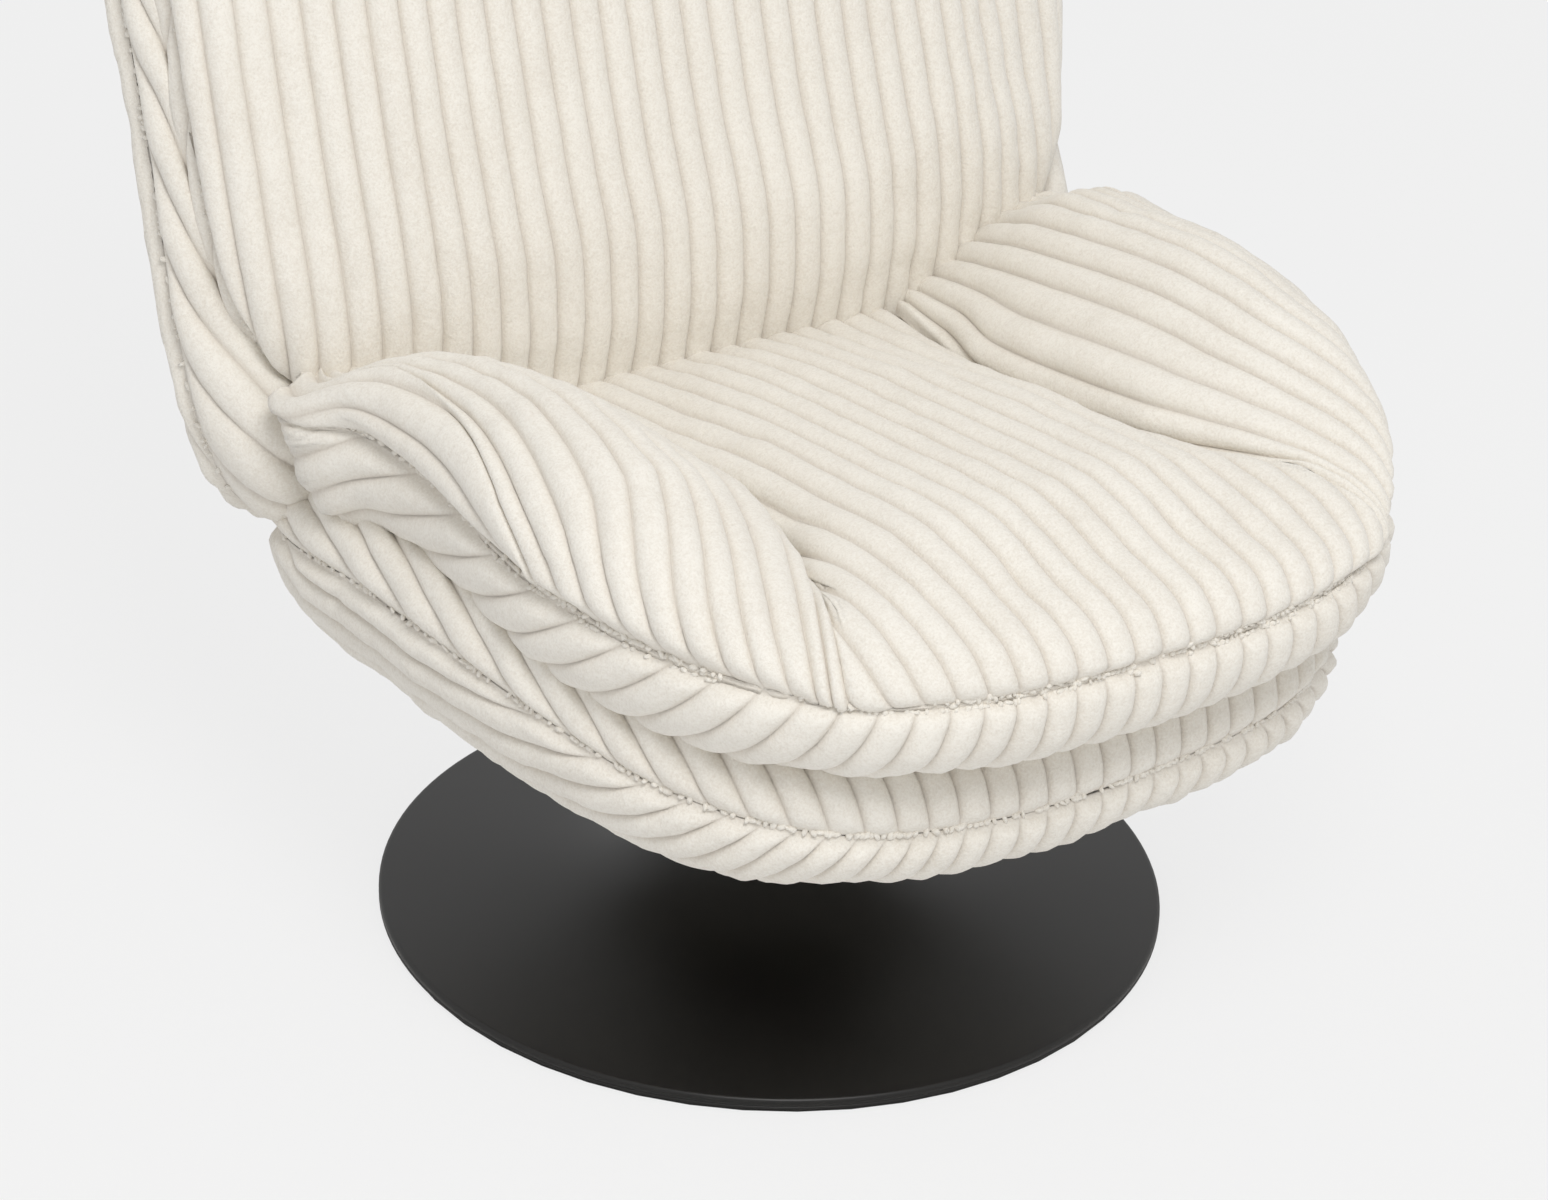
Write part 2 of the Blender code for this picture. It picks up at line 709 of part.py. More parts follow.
def bolt(name, spot, direction, reach, turns):
    # Button head standing on the spot, with its shank running back from it.
    profile = [
        (0.0, BOLT_HEAD_HEIGHT),
        (BOLT_HEAD_RADIUS * 0.75, BOLT_HEAD_HEIGHT),
        (BOLT_HEAD_RADIUS, BOLT_HEAD_HEIGHT * 0.4),
        (BOLT_HEAD_RADIUS, 0.0),
        (BOLT_RADIUS, 0.0),
        (BOLT_RADIUS, -reach),
        (0.0, -reach),
    ]
    piece = turned(name, profile, ZINC, turns, BOLT_STEPS)
    piece.matrix_world = along(spot, direction)
    return piece


def bolt_hole(name, spot, direction, length, radius=BOLT_RADIUS):
    mesh = cylinder_mesh(name, radius + HOLE_GAP, length, along(spot, direction), BOLT_STEPS)
    return add_cutter(name, mesh)


def make_swivel():
    clip_bottom = CLIP_HEIGHT - CLIP_THICKNESS
    bush_bottom = CLIP_HEIGHT + REST_GAP
    bush_outer = COLUMN_BORE - REST_GAP
    bush_inner = SPINDLE_RADIUS + RUN_GAP
    lower = [
        (bush_outer, bush_bottom + BUSH_LENGTH),
        (bush_outer, bush_bottom),
        (bush_inner, bush_bottom),
        (bush_inner, bush_bottom + BUSH_LENGTH),
    ]
    turned("lower_bush", lower, PLASTIC, False, SMALL_STEPS)

    collar_top = COLLAR_BOTTOM + BUSH_COLLAR
    upper = [
        (COLUMN_RADIUS, collar_top),
        (COLUMN_RADIUS, COLLAR_BOTTOM),
        (bush_outer, COLLAR_BOTTOM),
        (bush_outer, COLUMN_TOP - BUSH_LENGTH),
        (bush_inner, COLUMN_TOP - BUSH_LENGTH),
        (bush_inner, collar_top),
    ]
    turned("upper_bush", upper, PLASTIC, False, SMALL_STEPS)

    washer = [
        (COLUMN_RADIUS, WASHER_BOTTOM + WASHER_THICKNESS),
        (COLUMN_RADIUS, WASHER_BOTTOM),
        (bush_inner, WASHER_BOTTOM),
        (bush_inner, WASHER_BOTTOM + WASHER_THICKNESS),
    ]
    turned("thrust_washer", washer, PLASTIC, False, SMALL_STEPS)

    groove = SPINDLE_RADIUS - SPINDLE_GROOVE_DEPTH
    spindle = [
        (0.0, SPINDLE_TOP),
        (SPINDLE_RADIUS, SPINDLE_TOP),
        (SPINDLE_RADIUS, CLIP_HEIGHT + REST_GAP),
        (groove, CLIP_HEIGHT + REST_GAP),
        (groove, clip_bottom - REST_GAP),
        (SPINDLE_RADIUS, clip_bottom - REST_GAP),
        (SPINDLE_RADIUS, SPINDLE_BOTTOM),
        (0.0, SPINDLE_BOTTOM),
    ]
    turned("spindle", spindle, ZINC, True, SMALL_STEPS)

    clip = [
        (CLIP_RADIUS, CLIP_HEIGHT),
        (CLIP_RADIUS, clip_bottom),
        (groove + REST_GAP, clip_bottom),
        (groove + REST_GAP, CLIP_HEIGHT),
    ]
    turned("spindle_clip", clip, ZINC, True, SMALL_STEPS)


def make_plate(ply):
    mesh = bpy.data.meshes.new("swivel_plate")
    made = bmesh.new()
    bmesh.ops.create_cube(made, size=1.0)
    bmesh.ops.scale(made, vec=(PLATE_WIDTH, PLATE_WIDTH, PLATE_THICKNESS), verts=made.verts)
    bmesh.ops.translate(made, vec=(0, 0, PLATE_TOP - PLATE_THICKNESS / 2), verts=made.verts)
    upright = [edge for edge in made.edges if abs(edge.verts[0].co.z - edge.verts[1].co.z) > 0.001]
    bmesh.ops.bevel(made, geom=upright, offset=PLATE_CORNER, segments=3, affect="EDGES", profile=0.5)
    made.to_mesh(mesh)
    made.free()
    plate = add_piece("swivel_plate", mesh, BLACK, True)

    hub_top = PLATE_TOP - PLATE_THICKNESS / 2
    hub_middle = (0, 0, (HUB_BOTTOM + hub_top) / 2)
    hub = cylinder_mesh("hub", HUB_RADIUS, hub_top - HUB_BOTTOM, along(hub_middle, (0, 0, 1)), SMALL_STEPS)
    boolean(plate, add_cutter("hub", hub), "UNION")
    bore_bottom = HUB_BOTTOM - PLATE_THICKNESS
    bore_top = SPINDLE_TOP + REST_GAP
    at_bore = along((0, 0, (bore_bottom + bore_top) / 2), (0, 0, 1))
    bore_radius = SPINDLE_RADIUS + REST_GAP
    bore = cylinder_mesh("bore", bore_radius, bore_top - bore_bottom, at_bore, SMALL_STEPS)
    boolean(plate, add_cutter("bore", bore))

    reach = TEE_FLANGE_TOP - PLATE_BOTTOM
    index = 0
    for side_x in (-1, 1):
        for side_y in (-1, 1):
            index += 1
            spot_x = side_x * PLATE_BOLT_SPACING / 2
            spot_y = side_y * PLATE_BOLT_SPACING / 2
            head = (spot_x, spot_y, PLATE_BOTTOM - REST_GAP)
            bolt(f"plate_bolt_{index}", head, (0, 0, -1), reach, True)
            boolean(plate, bolt_hole(f"plate_hole_{index}", head, (0, 0, 1), 4 * PLATE_THICKNESS))
            tee_nut(f"tee_nut_{index}", spot_x, spot_y)
            middle = (spot_x, spot_y, PLY_BOTTOM)
            socket = bolt_hole(f"tee_hole_{index}", middle, (0, 0, 1), 4 * PLY_THICKNESS, TEE_BARREL_RADIUS)
            boolean(ply, socket)


def tee_nut(name, spot_x, spot_y):
    thread = BOLT_RADIUS + HOLE_GAP
    profile = [
        (TEE_FLANGE_RADIUS, TEE_FLANGE_TOP),
        (TEE_FLANGE_RADIUS, TEE_FLANGE_BOTTOM),
        (TEE_BARREL_RADIUS, TEE_FLANGE_BOTTOM),
        (TEE_BARREL_RADIUS, PLY_BOTTOM + REST_GAP),
        (thread, PLY_BOTTOM + REST_GAP),
        (thread, TEE_FLANGE_TOP),
    ]
    nut = turned(name, profile, ZINC, True, BOLT_STEPS)
    nut.location = (spot_x, spot_y, 0)


def make_bracket(side, middle_x, seat_ply, back_ply):
    # A bent strap: its foot follows the seat shell and its leg lies on the back shell.
    name = f"back_bracket_{side}"
    inside = PLY_THICKNESS + LINING
    foot_y = np.linspace(BRACKET_FOOT_Y, BRACKET_HEEL_Y, 4)
    widest = np.full_like(foot_y, abs(middle_x) + BRACKET_WIDTH / 2)
    foot = np.stack([foot_y, SEAT_BOWL.lining(widest, foot_y, inside)], axis=-1)
    rises = np.array((BRACKET_LOW, BRACKET_HIGH))
    shell_rises = np.linspace(BACK_CENTRE - BACK_BOWL.outline.before, BRACKET_HIGH, 9)
    shell_across = np.full_like(shell_rises, abs(middle_x) + BRACKET_WIDTH / 2)
    highest = BACK_BOWL.lining(shell_across, shell_rises, inside).max()
    level = np.full_like(rises, max(highest, BACK_RIM_DEEPEST + LINING))
    leg = back_place(np.zeros_like(rises), rises, level)[:, 1:]
    path = [Vector(point) for point in np.concatenate([foot, leg])]
    other = strip_side(path, BRACKET_THICKNESS)
    corners = [(middle_x, point.x, point.y) for point in path + other[::-1]]
    strap = add_piece(name, mesh_from(name, corners, [tuple(range(len(corners)))]), BLACK, True)
    thicken(strap, BRACKET_WIDTH, 0.0)
    foot_spot, foot_square = strap_middle(path[1], path[2])
    leg_spot, leg_square = strap_middle(path[-1], path[-1] + (path[-2] - path[-1]) * BRACKET_BOLT_SHARE)
    leg_square = -leg_square
    leg_rise = BRACKET_HIGH + (BRACKET_LOW - BRACKET_HIGH) * BRACKET_BOLT_SHARE / 2
    leg_space = level[0] - BACK_BOWL.lining(np.array(middle_x), np.array(leg_rise), PLY_THICKNESS)
    foot_place = ("foot", foot_spot, foot_square, seat_ply, 0.0)
    leg_place = ("leg", leg_spot, leg_square, back_ply, float(leg_space))
    for index, offset in enumerate((-BRACKET_BOLT_SPACING / 2, BRACKET_BOLT_SPACING / 2)):
        for part, spot, square, ply, space in (foot_place, leg_place):
            bolt_name = f"{part}_bolt_{side}_{index + 1}"
            direction = Vector((0, *square))
            head = Vector((middle_x + offset, *spot)) + direction * (BRACKET_THICKNESS + REST_GAP)
            reach = BRACKET_THICKNESS + space + PLY_THICKNESS
            bolt(bolt_name, head, direction, reach, True)
            hole = bolt_hole(f"{bolt_name}_hole", head, direction, 4 * reach)
            boolean(strap, hole)
            boolean(ply, hole)


def strap_middle(first, second):
    # The middle of one run of the strap and the direction its upper side faces.
    run = (second - first).normalized()
    return (first + second) / 2, Vector((-run.y, run.x))


def strip_side(path, thickness):
    # The far side of a bent strip, square to each run and mitred at the bends.
    moved = []
    for index, point in enumerate(path):
        before = path[max(index - 1, 0)]
        after = path[min(index + 1, len(path) - 1)]
        first = (point - before).normalized() if index else (after - point).normalized()
        second = (after - point).normalized() if index < len(path) - 1 else first
        middle = (first + second).normalized()
        mitre = thickness / max(middle.dot(second), 0.3)
        moved.append(point + Vector((-middle.y, middle.x)) * mitre)
    return moved


def make_chair():
    make_base()
    make_swivel()
    seat_ply, seat_cover = make_shell("seat_shell", "seat_cover", SEAT_BOWL)
    make_plate(seat_ply)
    window_radius = PLATE_WIDTH / math.sqrt(2)
    at_floor = along((0, 0, SHELL_FLOOR), (0, 0, 1))
    window = cylinder_mesh("window", window_radius, 4 * COVER_THICKNESS, at_floor, SMALL_STEPS)
    boolean(seat_cover, add_cutter("window", window))

    seat_run = (SHELL_SPOKES // 2 - SEAT_LIP_PAST, SHELL_SPOKES + SEAT_LIP_PAST)
    seat_border = lip_mesh("seat_border", SEAT_BOWL, SEAT_LIP, SEAT_LIP_DEPTH, *seat_run)
    add_piece("seat_border", seat_border, PLUSH, True)
    seat_lip_room = lip_mesh("seat_lip_room", SEAT_BOWL, SEAT_LIP, SEAT_LIP_DEPTH, *seat_run, REST_GAP)

    seat_columns = mirrored([0.0, 0.17, 0.32, 0.43, 0.49, 0.525, 0.56, 0.62, 0.71, 0.82, 0.92, 0.975, 1.0])
    front_rows = [-1.0, -0.975, -0.93, -0.86, -0.76, -0.64, -0.5, -0.36, -0.22, -0.1]
    seat_rows = front_rows + [0.0, 0.3, 0.6, 0.85, 1.0]
    cushion_mesh = pillow_mesh(
        "seat_cushion",
        SEAT_OUTLINE,
        seat_over,
        seat_under,
        seat_columns,
        seat_rows,
        seat_place,
        CREASE_TAPER,
        ARM_PEAK_Y,
    )
    cushion = add_piece("seat_cushion", cushion_mesh, PLUSH, True)

    back_ply, _ = make_shell("back_shell", "back_cover", BACK_BOWL)
    back_run = (-BACK_LIP_PAST, SHELL_SPOKES // 2 + BACK_LIP_PAST)
    back_border = lip_mesh("back_border", BACK_BOWL, BACK_LIP, BACK_LIP_DEPTH, *back_run)
    add_piece("back_border", back_border, PLUSH, True)
    back_lip_room = lip_mesh("back_lip_room", BACK_BOWL, BACK_LIP, BACK_LIP_DEPTH, *back_run, REST_GAP)

    back_steps = mirrored([0.0, 0.2, 0.4, 0.58, 0.66, 0.74, 0.83, 0.92, 0.975, 1.0])
    back_cushion = pillow_mesh(
        "back_cushion", BACK_OUTLINE, back_over, back_under, back_steps, back_steps, back_place
    )
    back_piece = add_piece("back_cushion", back_cushion, PLUSH, True)
    back_lip_cutter = add_cutter("back_lip_room", back_lip_room)
    boolean(back_piece, back_lip_cutter)
    air = BACK_OUTLINE.inset(-2 * REST_GAP)
    room = pillow_mesh(
        "back_room", air, back_room_over, back_room_under, back_steps, back_steps, back_place
    )
    boolean(cushion, add_cutter("back_room", room))
    boolean(cushion, add_cutter("seat_lip_room", seat_lip_room))
    boolean(cushion, back_lip_cutter)
    make_bracket("left", -BRACKET_X, seat_ply, back_ply)
    make_bracket("right", BRACKET_X, seat_ply, back_ply)


make_chair()
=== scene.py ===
import json
import math
from contextlib import contextmanager

import bmesh
import bpy
import numpy as np
from mathutils import Matrix, Vector, kdtree


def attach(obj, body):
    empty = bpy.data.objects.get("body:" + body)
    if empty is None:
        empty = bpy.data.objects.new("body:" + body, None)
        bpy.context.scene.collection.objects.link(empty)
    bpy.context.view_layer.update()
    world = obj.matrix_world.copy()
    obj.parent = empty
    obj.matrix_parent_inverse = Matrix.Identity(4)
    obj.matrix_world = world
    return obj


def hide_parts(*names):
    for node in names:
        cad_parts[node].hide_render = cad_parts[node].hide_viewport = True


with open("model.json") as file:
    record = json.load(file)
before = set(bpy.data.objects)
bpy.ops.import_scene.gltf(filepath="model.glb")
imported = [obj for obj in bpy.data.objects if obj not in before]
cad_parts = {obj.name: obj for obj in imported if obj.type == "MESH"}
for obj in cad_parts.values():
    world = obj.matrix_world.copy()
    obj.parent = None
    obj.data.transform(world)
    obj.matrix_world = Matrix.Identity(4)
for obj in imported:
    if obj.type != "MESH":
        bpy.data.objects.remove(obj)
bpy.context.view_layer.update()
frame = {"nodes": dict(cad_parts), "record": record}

scene = bpy.context.scene
quarterTurn = 0.5 * math.pi
tiny = 1e-9  # keeps a divisor off zero
hair = 1e-6  # what is smaller counts as nothing
farFromSeam = 0.1
print("frame loaded:", len(frame["nodes"]), "nodes")


class Wired:  # one output socket, with arithmetic that adds Math nodes
    def __init__(self, tree, socket):
        self.tree = tree
        self.socket = socket

    def output(self, name):  # another output of the same node
        return Wired(self.tree, self.socket.node.outputs[name])

    def maths(self, operation, *others):
        return self.tree.node("ShaderNodeMath", {"operation": operation}, self, *others)

    def __add__(self, other):
        return self.maths("ADD", other)

    def __sub__(self, other):
        return self.maths("SUBTRACT", other)

    def __rsub__(self, other):
        return self.tree.node("ShaderNodeMath", {"operation": "SUBTRACT"}, other, self)

    def __mul__(self, other):
        return self.maths("MULTIPLY", other)

    def __truediv__(self, other):
        return self.maths("DIVIDE", other)

    def __pow__(self, other):
        return self.maths("POWER", other)

    __radd__ = __add__
    __rmul__ = __mul__


class Wiring:  # a shader or geometry tree that is filled one node at a time
    def __init__(self, tree):
        self.tree = tree

    def node(self, kind, settings=None, *values, out=0, **named):
        made = self.tree.nodes.new(kind)
        for key, value in (settings or {}).items():
            if key == "stops":
                self.setStops(made.color_ramp, value)
            else:
                setattr(made, key, value)
        for index, value in enumerate(values):
            self.feed(made.inputs[index], value)
        for key, value in named.items():
            self.feed(made.inputs[key.replace("_", " ")], value)
        return Wired(self, made.outputs[out]) if made.outputs else None

    def feed(self, socket, value):
        if isinstance(value, Wired):
            self.tree.links.new(value.socket, socket)
        elif value is not None:
            socket.default_value = value

    def setStops(self, ramp, stops):
        while len(ramp.elements) < len(stops):
            ramp.elements.new(0.5)
        for element, (place, colour) in zip(ramp.elements, stops):
            element.position = place
            element.color = colour

    def noise(self, spot, scale, detail, **more):  # in four dimensions where W is given
        kind = {"noise_dimensions": "4D"} if "W" in more else None
        return self.node("ShaderNodeTexNoise", kind, Vector=spot, Scale=scale, Detail=detail, **more)

    def vector(self, operation, *values, **named):
        return self.node("ShaderNodeVectorMath", {"operation": operation}, *values, **named)

    def ramp(self, share, stops):
        return self.node("ShaderNodeValToRGB", {"stops": stops}, share)

    def mixColour(self, share, first, second):
        skipped = [None] * 5  # the inputs for numbers and vectors
        return self.node("ShaderNodeMix", {"data_type": "RGBA"}, share, *skipped, first, second, out=2)

    def close(self, look, colour, rougher, grain):  # the shader that a material ends in
        bump, depth = look["bump"]
        rough, added = look["rough"]
        raised = self.node("ShaderNodeBump", None, Strength=bump, Distance=depth, Height=grain)
        shader = self.node(
            "ShaderNodeBsdfPrincipled",
            None,
            Base_Color=colour,
            Roughness=rough + added * rougher,
            Normal=raised,
            **look["more"],
        )
        self.node("ShaderNodeOutputMaterial", None, shader)


def emptied(holder):  # the bare node tree of a material or world
    holder.use_nodes = True
    holder.node_tree.nodes.clear()
    return Wiring(holder.node_tree)


def newMaterial(name):  # an empty material, its wiring and the place of a point on it
    material = bpy.data.materials.new(name)
    wiring = emptied(material)
    return material, wiring, wiring.node("ShaderNodeTexCoord", out="Object")


def newMesh(name, points, faces):
    mesh = bpy.data.meshes.new(name)
    mesh.from_pydata(points, [], faces)
    return mesh


def newObject(name, data):
    made = bpy.data.objects.new(name, data)
    scene.collection.objects.link(made)
    return made


def removePiece(piece):
    mesh = piece.data
    bpy.data.objects.remove(piece)
    bpy.data.meshes.remove(mesh)


@contextmanager
def editing(mesh, result=None):  # opens a mesh for editing and writes it back, or to another mesh
    made = bmesh.new()
    made.from_mesh(mesh)
    yield made
    made.to_mesh(mesh if result is None else result)
    made.free()


def coordinates(mesh, normals=False):
    values = np.empty(len(mesh.vertices) * 3, np.float32)
    if normals:
        mesh.vertex_normals.foreach_get("vector", values)
    else:
        mesh.vertices.foreach_get("co", values)
    return values.reshape(-1, 3).astype(float)


def setCoordinates(mesh, spots):
    mesh.vertices.foreach_set("co", spots.ravel())
    mesh.update()


def seamDistance(mesh):
    seam = np.empty(len(mesh.vertices), np.float32)
    mesh.attributes["seam"].data.foreach_get("value", seam)
    return seam


def searchTree(points):
    tree = kdtree.KDTree(len(points))
    for index, spot in enumerate(points):
        tree.insert(spot, index)
    tree.balance()
    return tree


def smoothStep(low, high, value):
    share = np.clip((value - low) / (high - low), 0.0, 1.0)
    return share * share * (3.0 - 2.0 * share)


def bell(value, middle, run):
    return np.exp(-(((value - middle) / run) ** 2))


def roll(ring, power):  # full inside, falling steeply to the seam as a stuffed edge does
    return np.sqrt(np.maximum(1.0 - np.clip(ring, 0.0, 1.0) ** power, 0.0))


def quarterArc(depth, height):  # about the length of a quarter of an ellipse
    return quarterTurn * np.sqrt(0.5 * (depth * depth + height * height))


def closerAtEnds(count):  # shares from 0 to 1
    return 0.5 * (1.0 - np.cos(np.linspace(0.0, math.pi, count)))


def running(steps):  # the sum so far along each row, from 0
    total = np.cumsum(steps, axis=-1)
    return np.concatenate([np.zeros_like(total[..., :1]), total], axis=-1)


def distance(first, second):  # run along a line of points, from their two coordinates
    return running(np.hypot(np.diff(first), np.diff(second)))


def middleLine(y):
    return np.zeros_like(y)


class Outline:  # two superellipse halves that meet on the line at the centre
    def __init__(self, half, centre, before, after, beforePower, afterPower):
        self.half = half
        self.centre = centre
        self.before = before
        self.after = after
        self.beforePower = beforePower
        self.afterPower = afterPower

    def flipped(self):  # the same outline with its length counted the other way
        return Outline(self.half, -self.centre, self.after, self.before, self.afterPower, self.beforePower)

    def parts(self, offset):
        power = np.where(offset < 0, self.beforePower, self.afterPower)
        reach = np.where(offset < 0, self.before, self.after)
        return power, reach

    def radius(self, x, y):  # 0 at the centre and 1 on the outline
        power, reach = self.parts(y - self.centre)
        share = np.abs(x / self.half) ** power + np.abs((y - self.centre) / reach) ** power
        return share ** (1.0 / power)

    def edge(self, y):  # half width at a length
        power, reach = self.parts(y - self.centre)
        share = np.clip(np.abs((y - self.centre) / reach), 0.0, 1.0)
        return self.half * np.maximum(1.0 - share**power, 0.0) ** (1.0 / power)

    def low(self):
        return self.centre - self.before

    def high(self):
        return self.centre + self.after

    def whole(self):  # limits of a panel that fills the outline
        return lambda y: -self.edge(y), self.edge, middleLine, self.low(), self.high()


cloth = {
    "wale": 0.0222,  # rib spacing
    "ribSteps": (0.0, 0.05, 0.14, 0.30, 0.5, 0.70, 0.86, 0.95),
    "seamSteps": (0.0, 0.0010, 0.0024, 0.0045, 0.0075, 0.0115, 0.0165),
    "seamGap": 0.0004,  # left between the outermost columns and the seam
    "endGap": 1e-5,  # share of the length left at both ends
    "shortColumn": 0.08,  # a shorter column has closer seam rows
    "bandShare": 0.6,  # the most of a column that its band of even rows takes
    "rowStep": 0.0048,  # between the rows of a strip
    "fewestRows": 4,
    "lastRib": 0.001,  # least room between a strip's last column and its end
    "steepest": math.radians(74),  # the most that a strip bends when it is laid flat
    "evened": 12,  # points to each side over which a strip's turn is evened out
    "tableRows": 420,
    "tableColumns": 260,
    "walk": 220,
    "outlineSteps": 6001,
    "bandSteps": 1600,
}


def ribColumns(ribs):
    return (ribs[:, None] + np.array(cloth["ribSteps"])).ravel() * cloth["wale"]


class Panel:
    # A piece of ribbed cloth laid over a height field. Its columns run along the ribs, at even distances
    # measured over the surface from a starting line.
    def __init__(self, height, left, right, start, low, high, place, rows, faceUp=True, measure=None):
        self.height = height
        self.left = left
        self.right = right
        self.place = place
        self.faceUp = faceUp
        self.measure = measure or self.overSurface
        margin = (high - low) * cloth["endGap"]
        self.ys = low + margin + (high - low - 2 * margin) * closerAtEnds(cloth["tableRows"])
        self.fillTable(start)
        self.makeColumns()
        self.makeGrid(rows)

    def overSurface(self, xs, ys):
        return distance(xs, self.height(xs, ys))

    def fillTable(self, start):
        across = closerAtEnds(cloth["tableColumns"])
        left = self.left(self.ys)[:, None]
        right = self.right(self.ys)[:, None]
        xs = left + (right - left) * across
        travel = self.measure(xs, self.ys[:, None] + 0.0 * xs)
        origin = start(self.ys)
        even = np.linspace(0.0, 1.0, cloth["tableColumns"])
        self.shares = np.empty_like(xs)
        for row in range(len(self.ys)):
            travel[row] -= np.interp(origin[row], xs[row], travel[row])
            span = travel[row, -1] - travel[row, 0]
            self.shares[row] = np.interp(even, (travel[row] - travel[row, 0]) / max(span, tiny), across)
        self.first = travel[:, 0]
        self.last = travel[:, -1]

    def makeColumns(self):
        wale = cloth["wale"]
        low = self.first.min() + cloth["seamGap"]
        high = self.last.max() - cloth["seamGap"]
        inner = ribColumns(np.arange(math.floor(low / wale), math.ceil(high / wale) + 1))
        ends = np.array(cloth["seamSteps"][:3])
        inner = inner[(inner > low + ends[2]) & (inner < high - ends[2])]
        self.columns = np.unique(np.concatenate([low + ends, inner, high - ends]))

    def across(self, travel, ys):  # x where the surface distance is travel, and the room beside it
        row = np.clip(np.searchsorted(self.ys, ys) - 1, 0, len(self.ys) - 2)
        part = np.clip((ys - self.ys[row]) / (self.ys[row + 1] - self.ys[row]), 0.0, 1.0)
        first = self.first[row] * (1 - part) + self.first[row + 1] * part
        last = self.last[row] * (1 - part) + self.last[row + 1] * part
        share = np.clip((travel - first) / np.maximum(last - first, tiny), 0.0, 1.0)
        spot = share * (cloth["tableColumns"] - 1)
        index = np.clip(spot.astype(int), 0, cloth["tableColumns"] - 2)
        bit = spot - index
        found = 0.0
        for step, weight in ((0, 1 - part), (1, part)):
            line = self.shares[row + step, index] * (1 - bit) + self.shares[row + step, index + 1] * bit
            found = found + weight * line
        left, right = self.left(ys), self.right(ys)
        return left + (right - left) * found, np.minimum(travel - first, last - travel)

    def span(self, travel):  # where a column starts and ends
        room = np.minimum(travel - self.first, self.last - travel)
        inside = np.nonzero(room > 0)[0]
        if len(inside) == 0:
            return None
        ends = []
        for spot, outer in ((inside[0], inside[0] - 1), (inside[-1], inside[-1] + 1)):
            if outer < 0 or outer >= len(room):
                ends.append(self.ys[spot])
                continue
            part = room[spot] / (room[spot] - room[outer])
            ends.append(self.ys[spot] + (self.ys[outer] - self.ys[spot]) * part)
        return ends

    def rowsOver(self, length, rows):  # close rows by the seams, a band of even rows, then wider ones
        band, bandRows, middleRows = rows
        near = np.array(cloth["seamSteps"]) * min(1.0, length / cloth["shortColumn"])
        turn = min(band, cloth["bandShare"] * length)
        front = np.linspace(near[-1], turn, bandRows + 1)[1:]
        middle = np.linspace(turn, length - near[-1], middleRows + 2)[1:-1]
        return np.concatenate([near, front, middle, length - near[::-1]])

    def makeGrid(self, spacing):
        points, flat, seam = [], [], []
        walk = closerAtEnds(cloth["walk"])
        for travel in self.columns:
            ends = self.span(travel)
            if ends is None:
                continue
            ys = ends[0] + (ends[1] - ends[0]) * walk
            xs, _ = self.across(travel, ys)
            zs = self.height(xs, ys)
            run = running(np.sqrt(np.diff(xs) ** 2 + np.diff(ys) ** 2 + np.diff(zs) ** 2))
            rows = self.rowsOver(run[-1], spacing)
            y = np.interp(rows, run, ys)
            x, side = self.across(travel, y)
            x[0], y[0], x[-1], y[-1] = xs[0], ys[0], xs[-1], ys[-1]
            along = np.minimum(rows, run[-1] - rows)
            side = np.maximum(side, 0.0)
            points.append(np.stack([x, y, self.height(x, y)], axis=-1))
            flat.append(np.full(len(rows), travel / cloth["wale"]))
            seam.append(along * side / np.maximum(np.hypot(along, side), tiny))
        self.points = np.array(points)
        self.flat = np.array(flat)
        self.seam = np.array(seam)


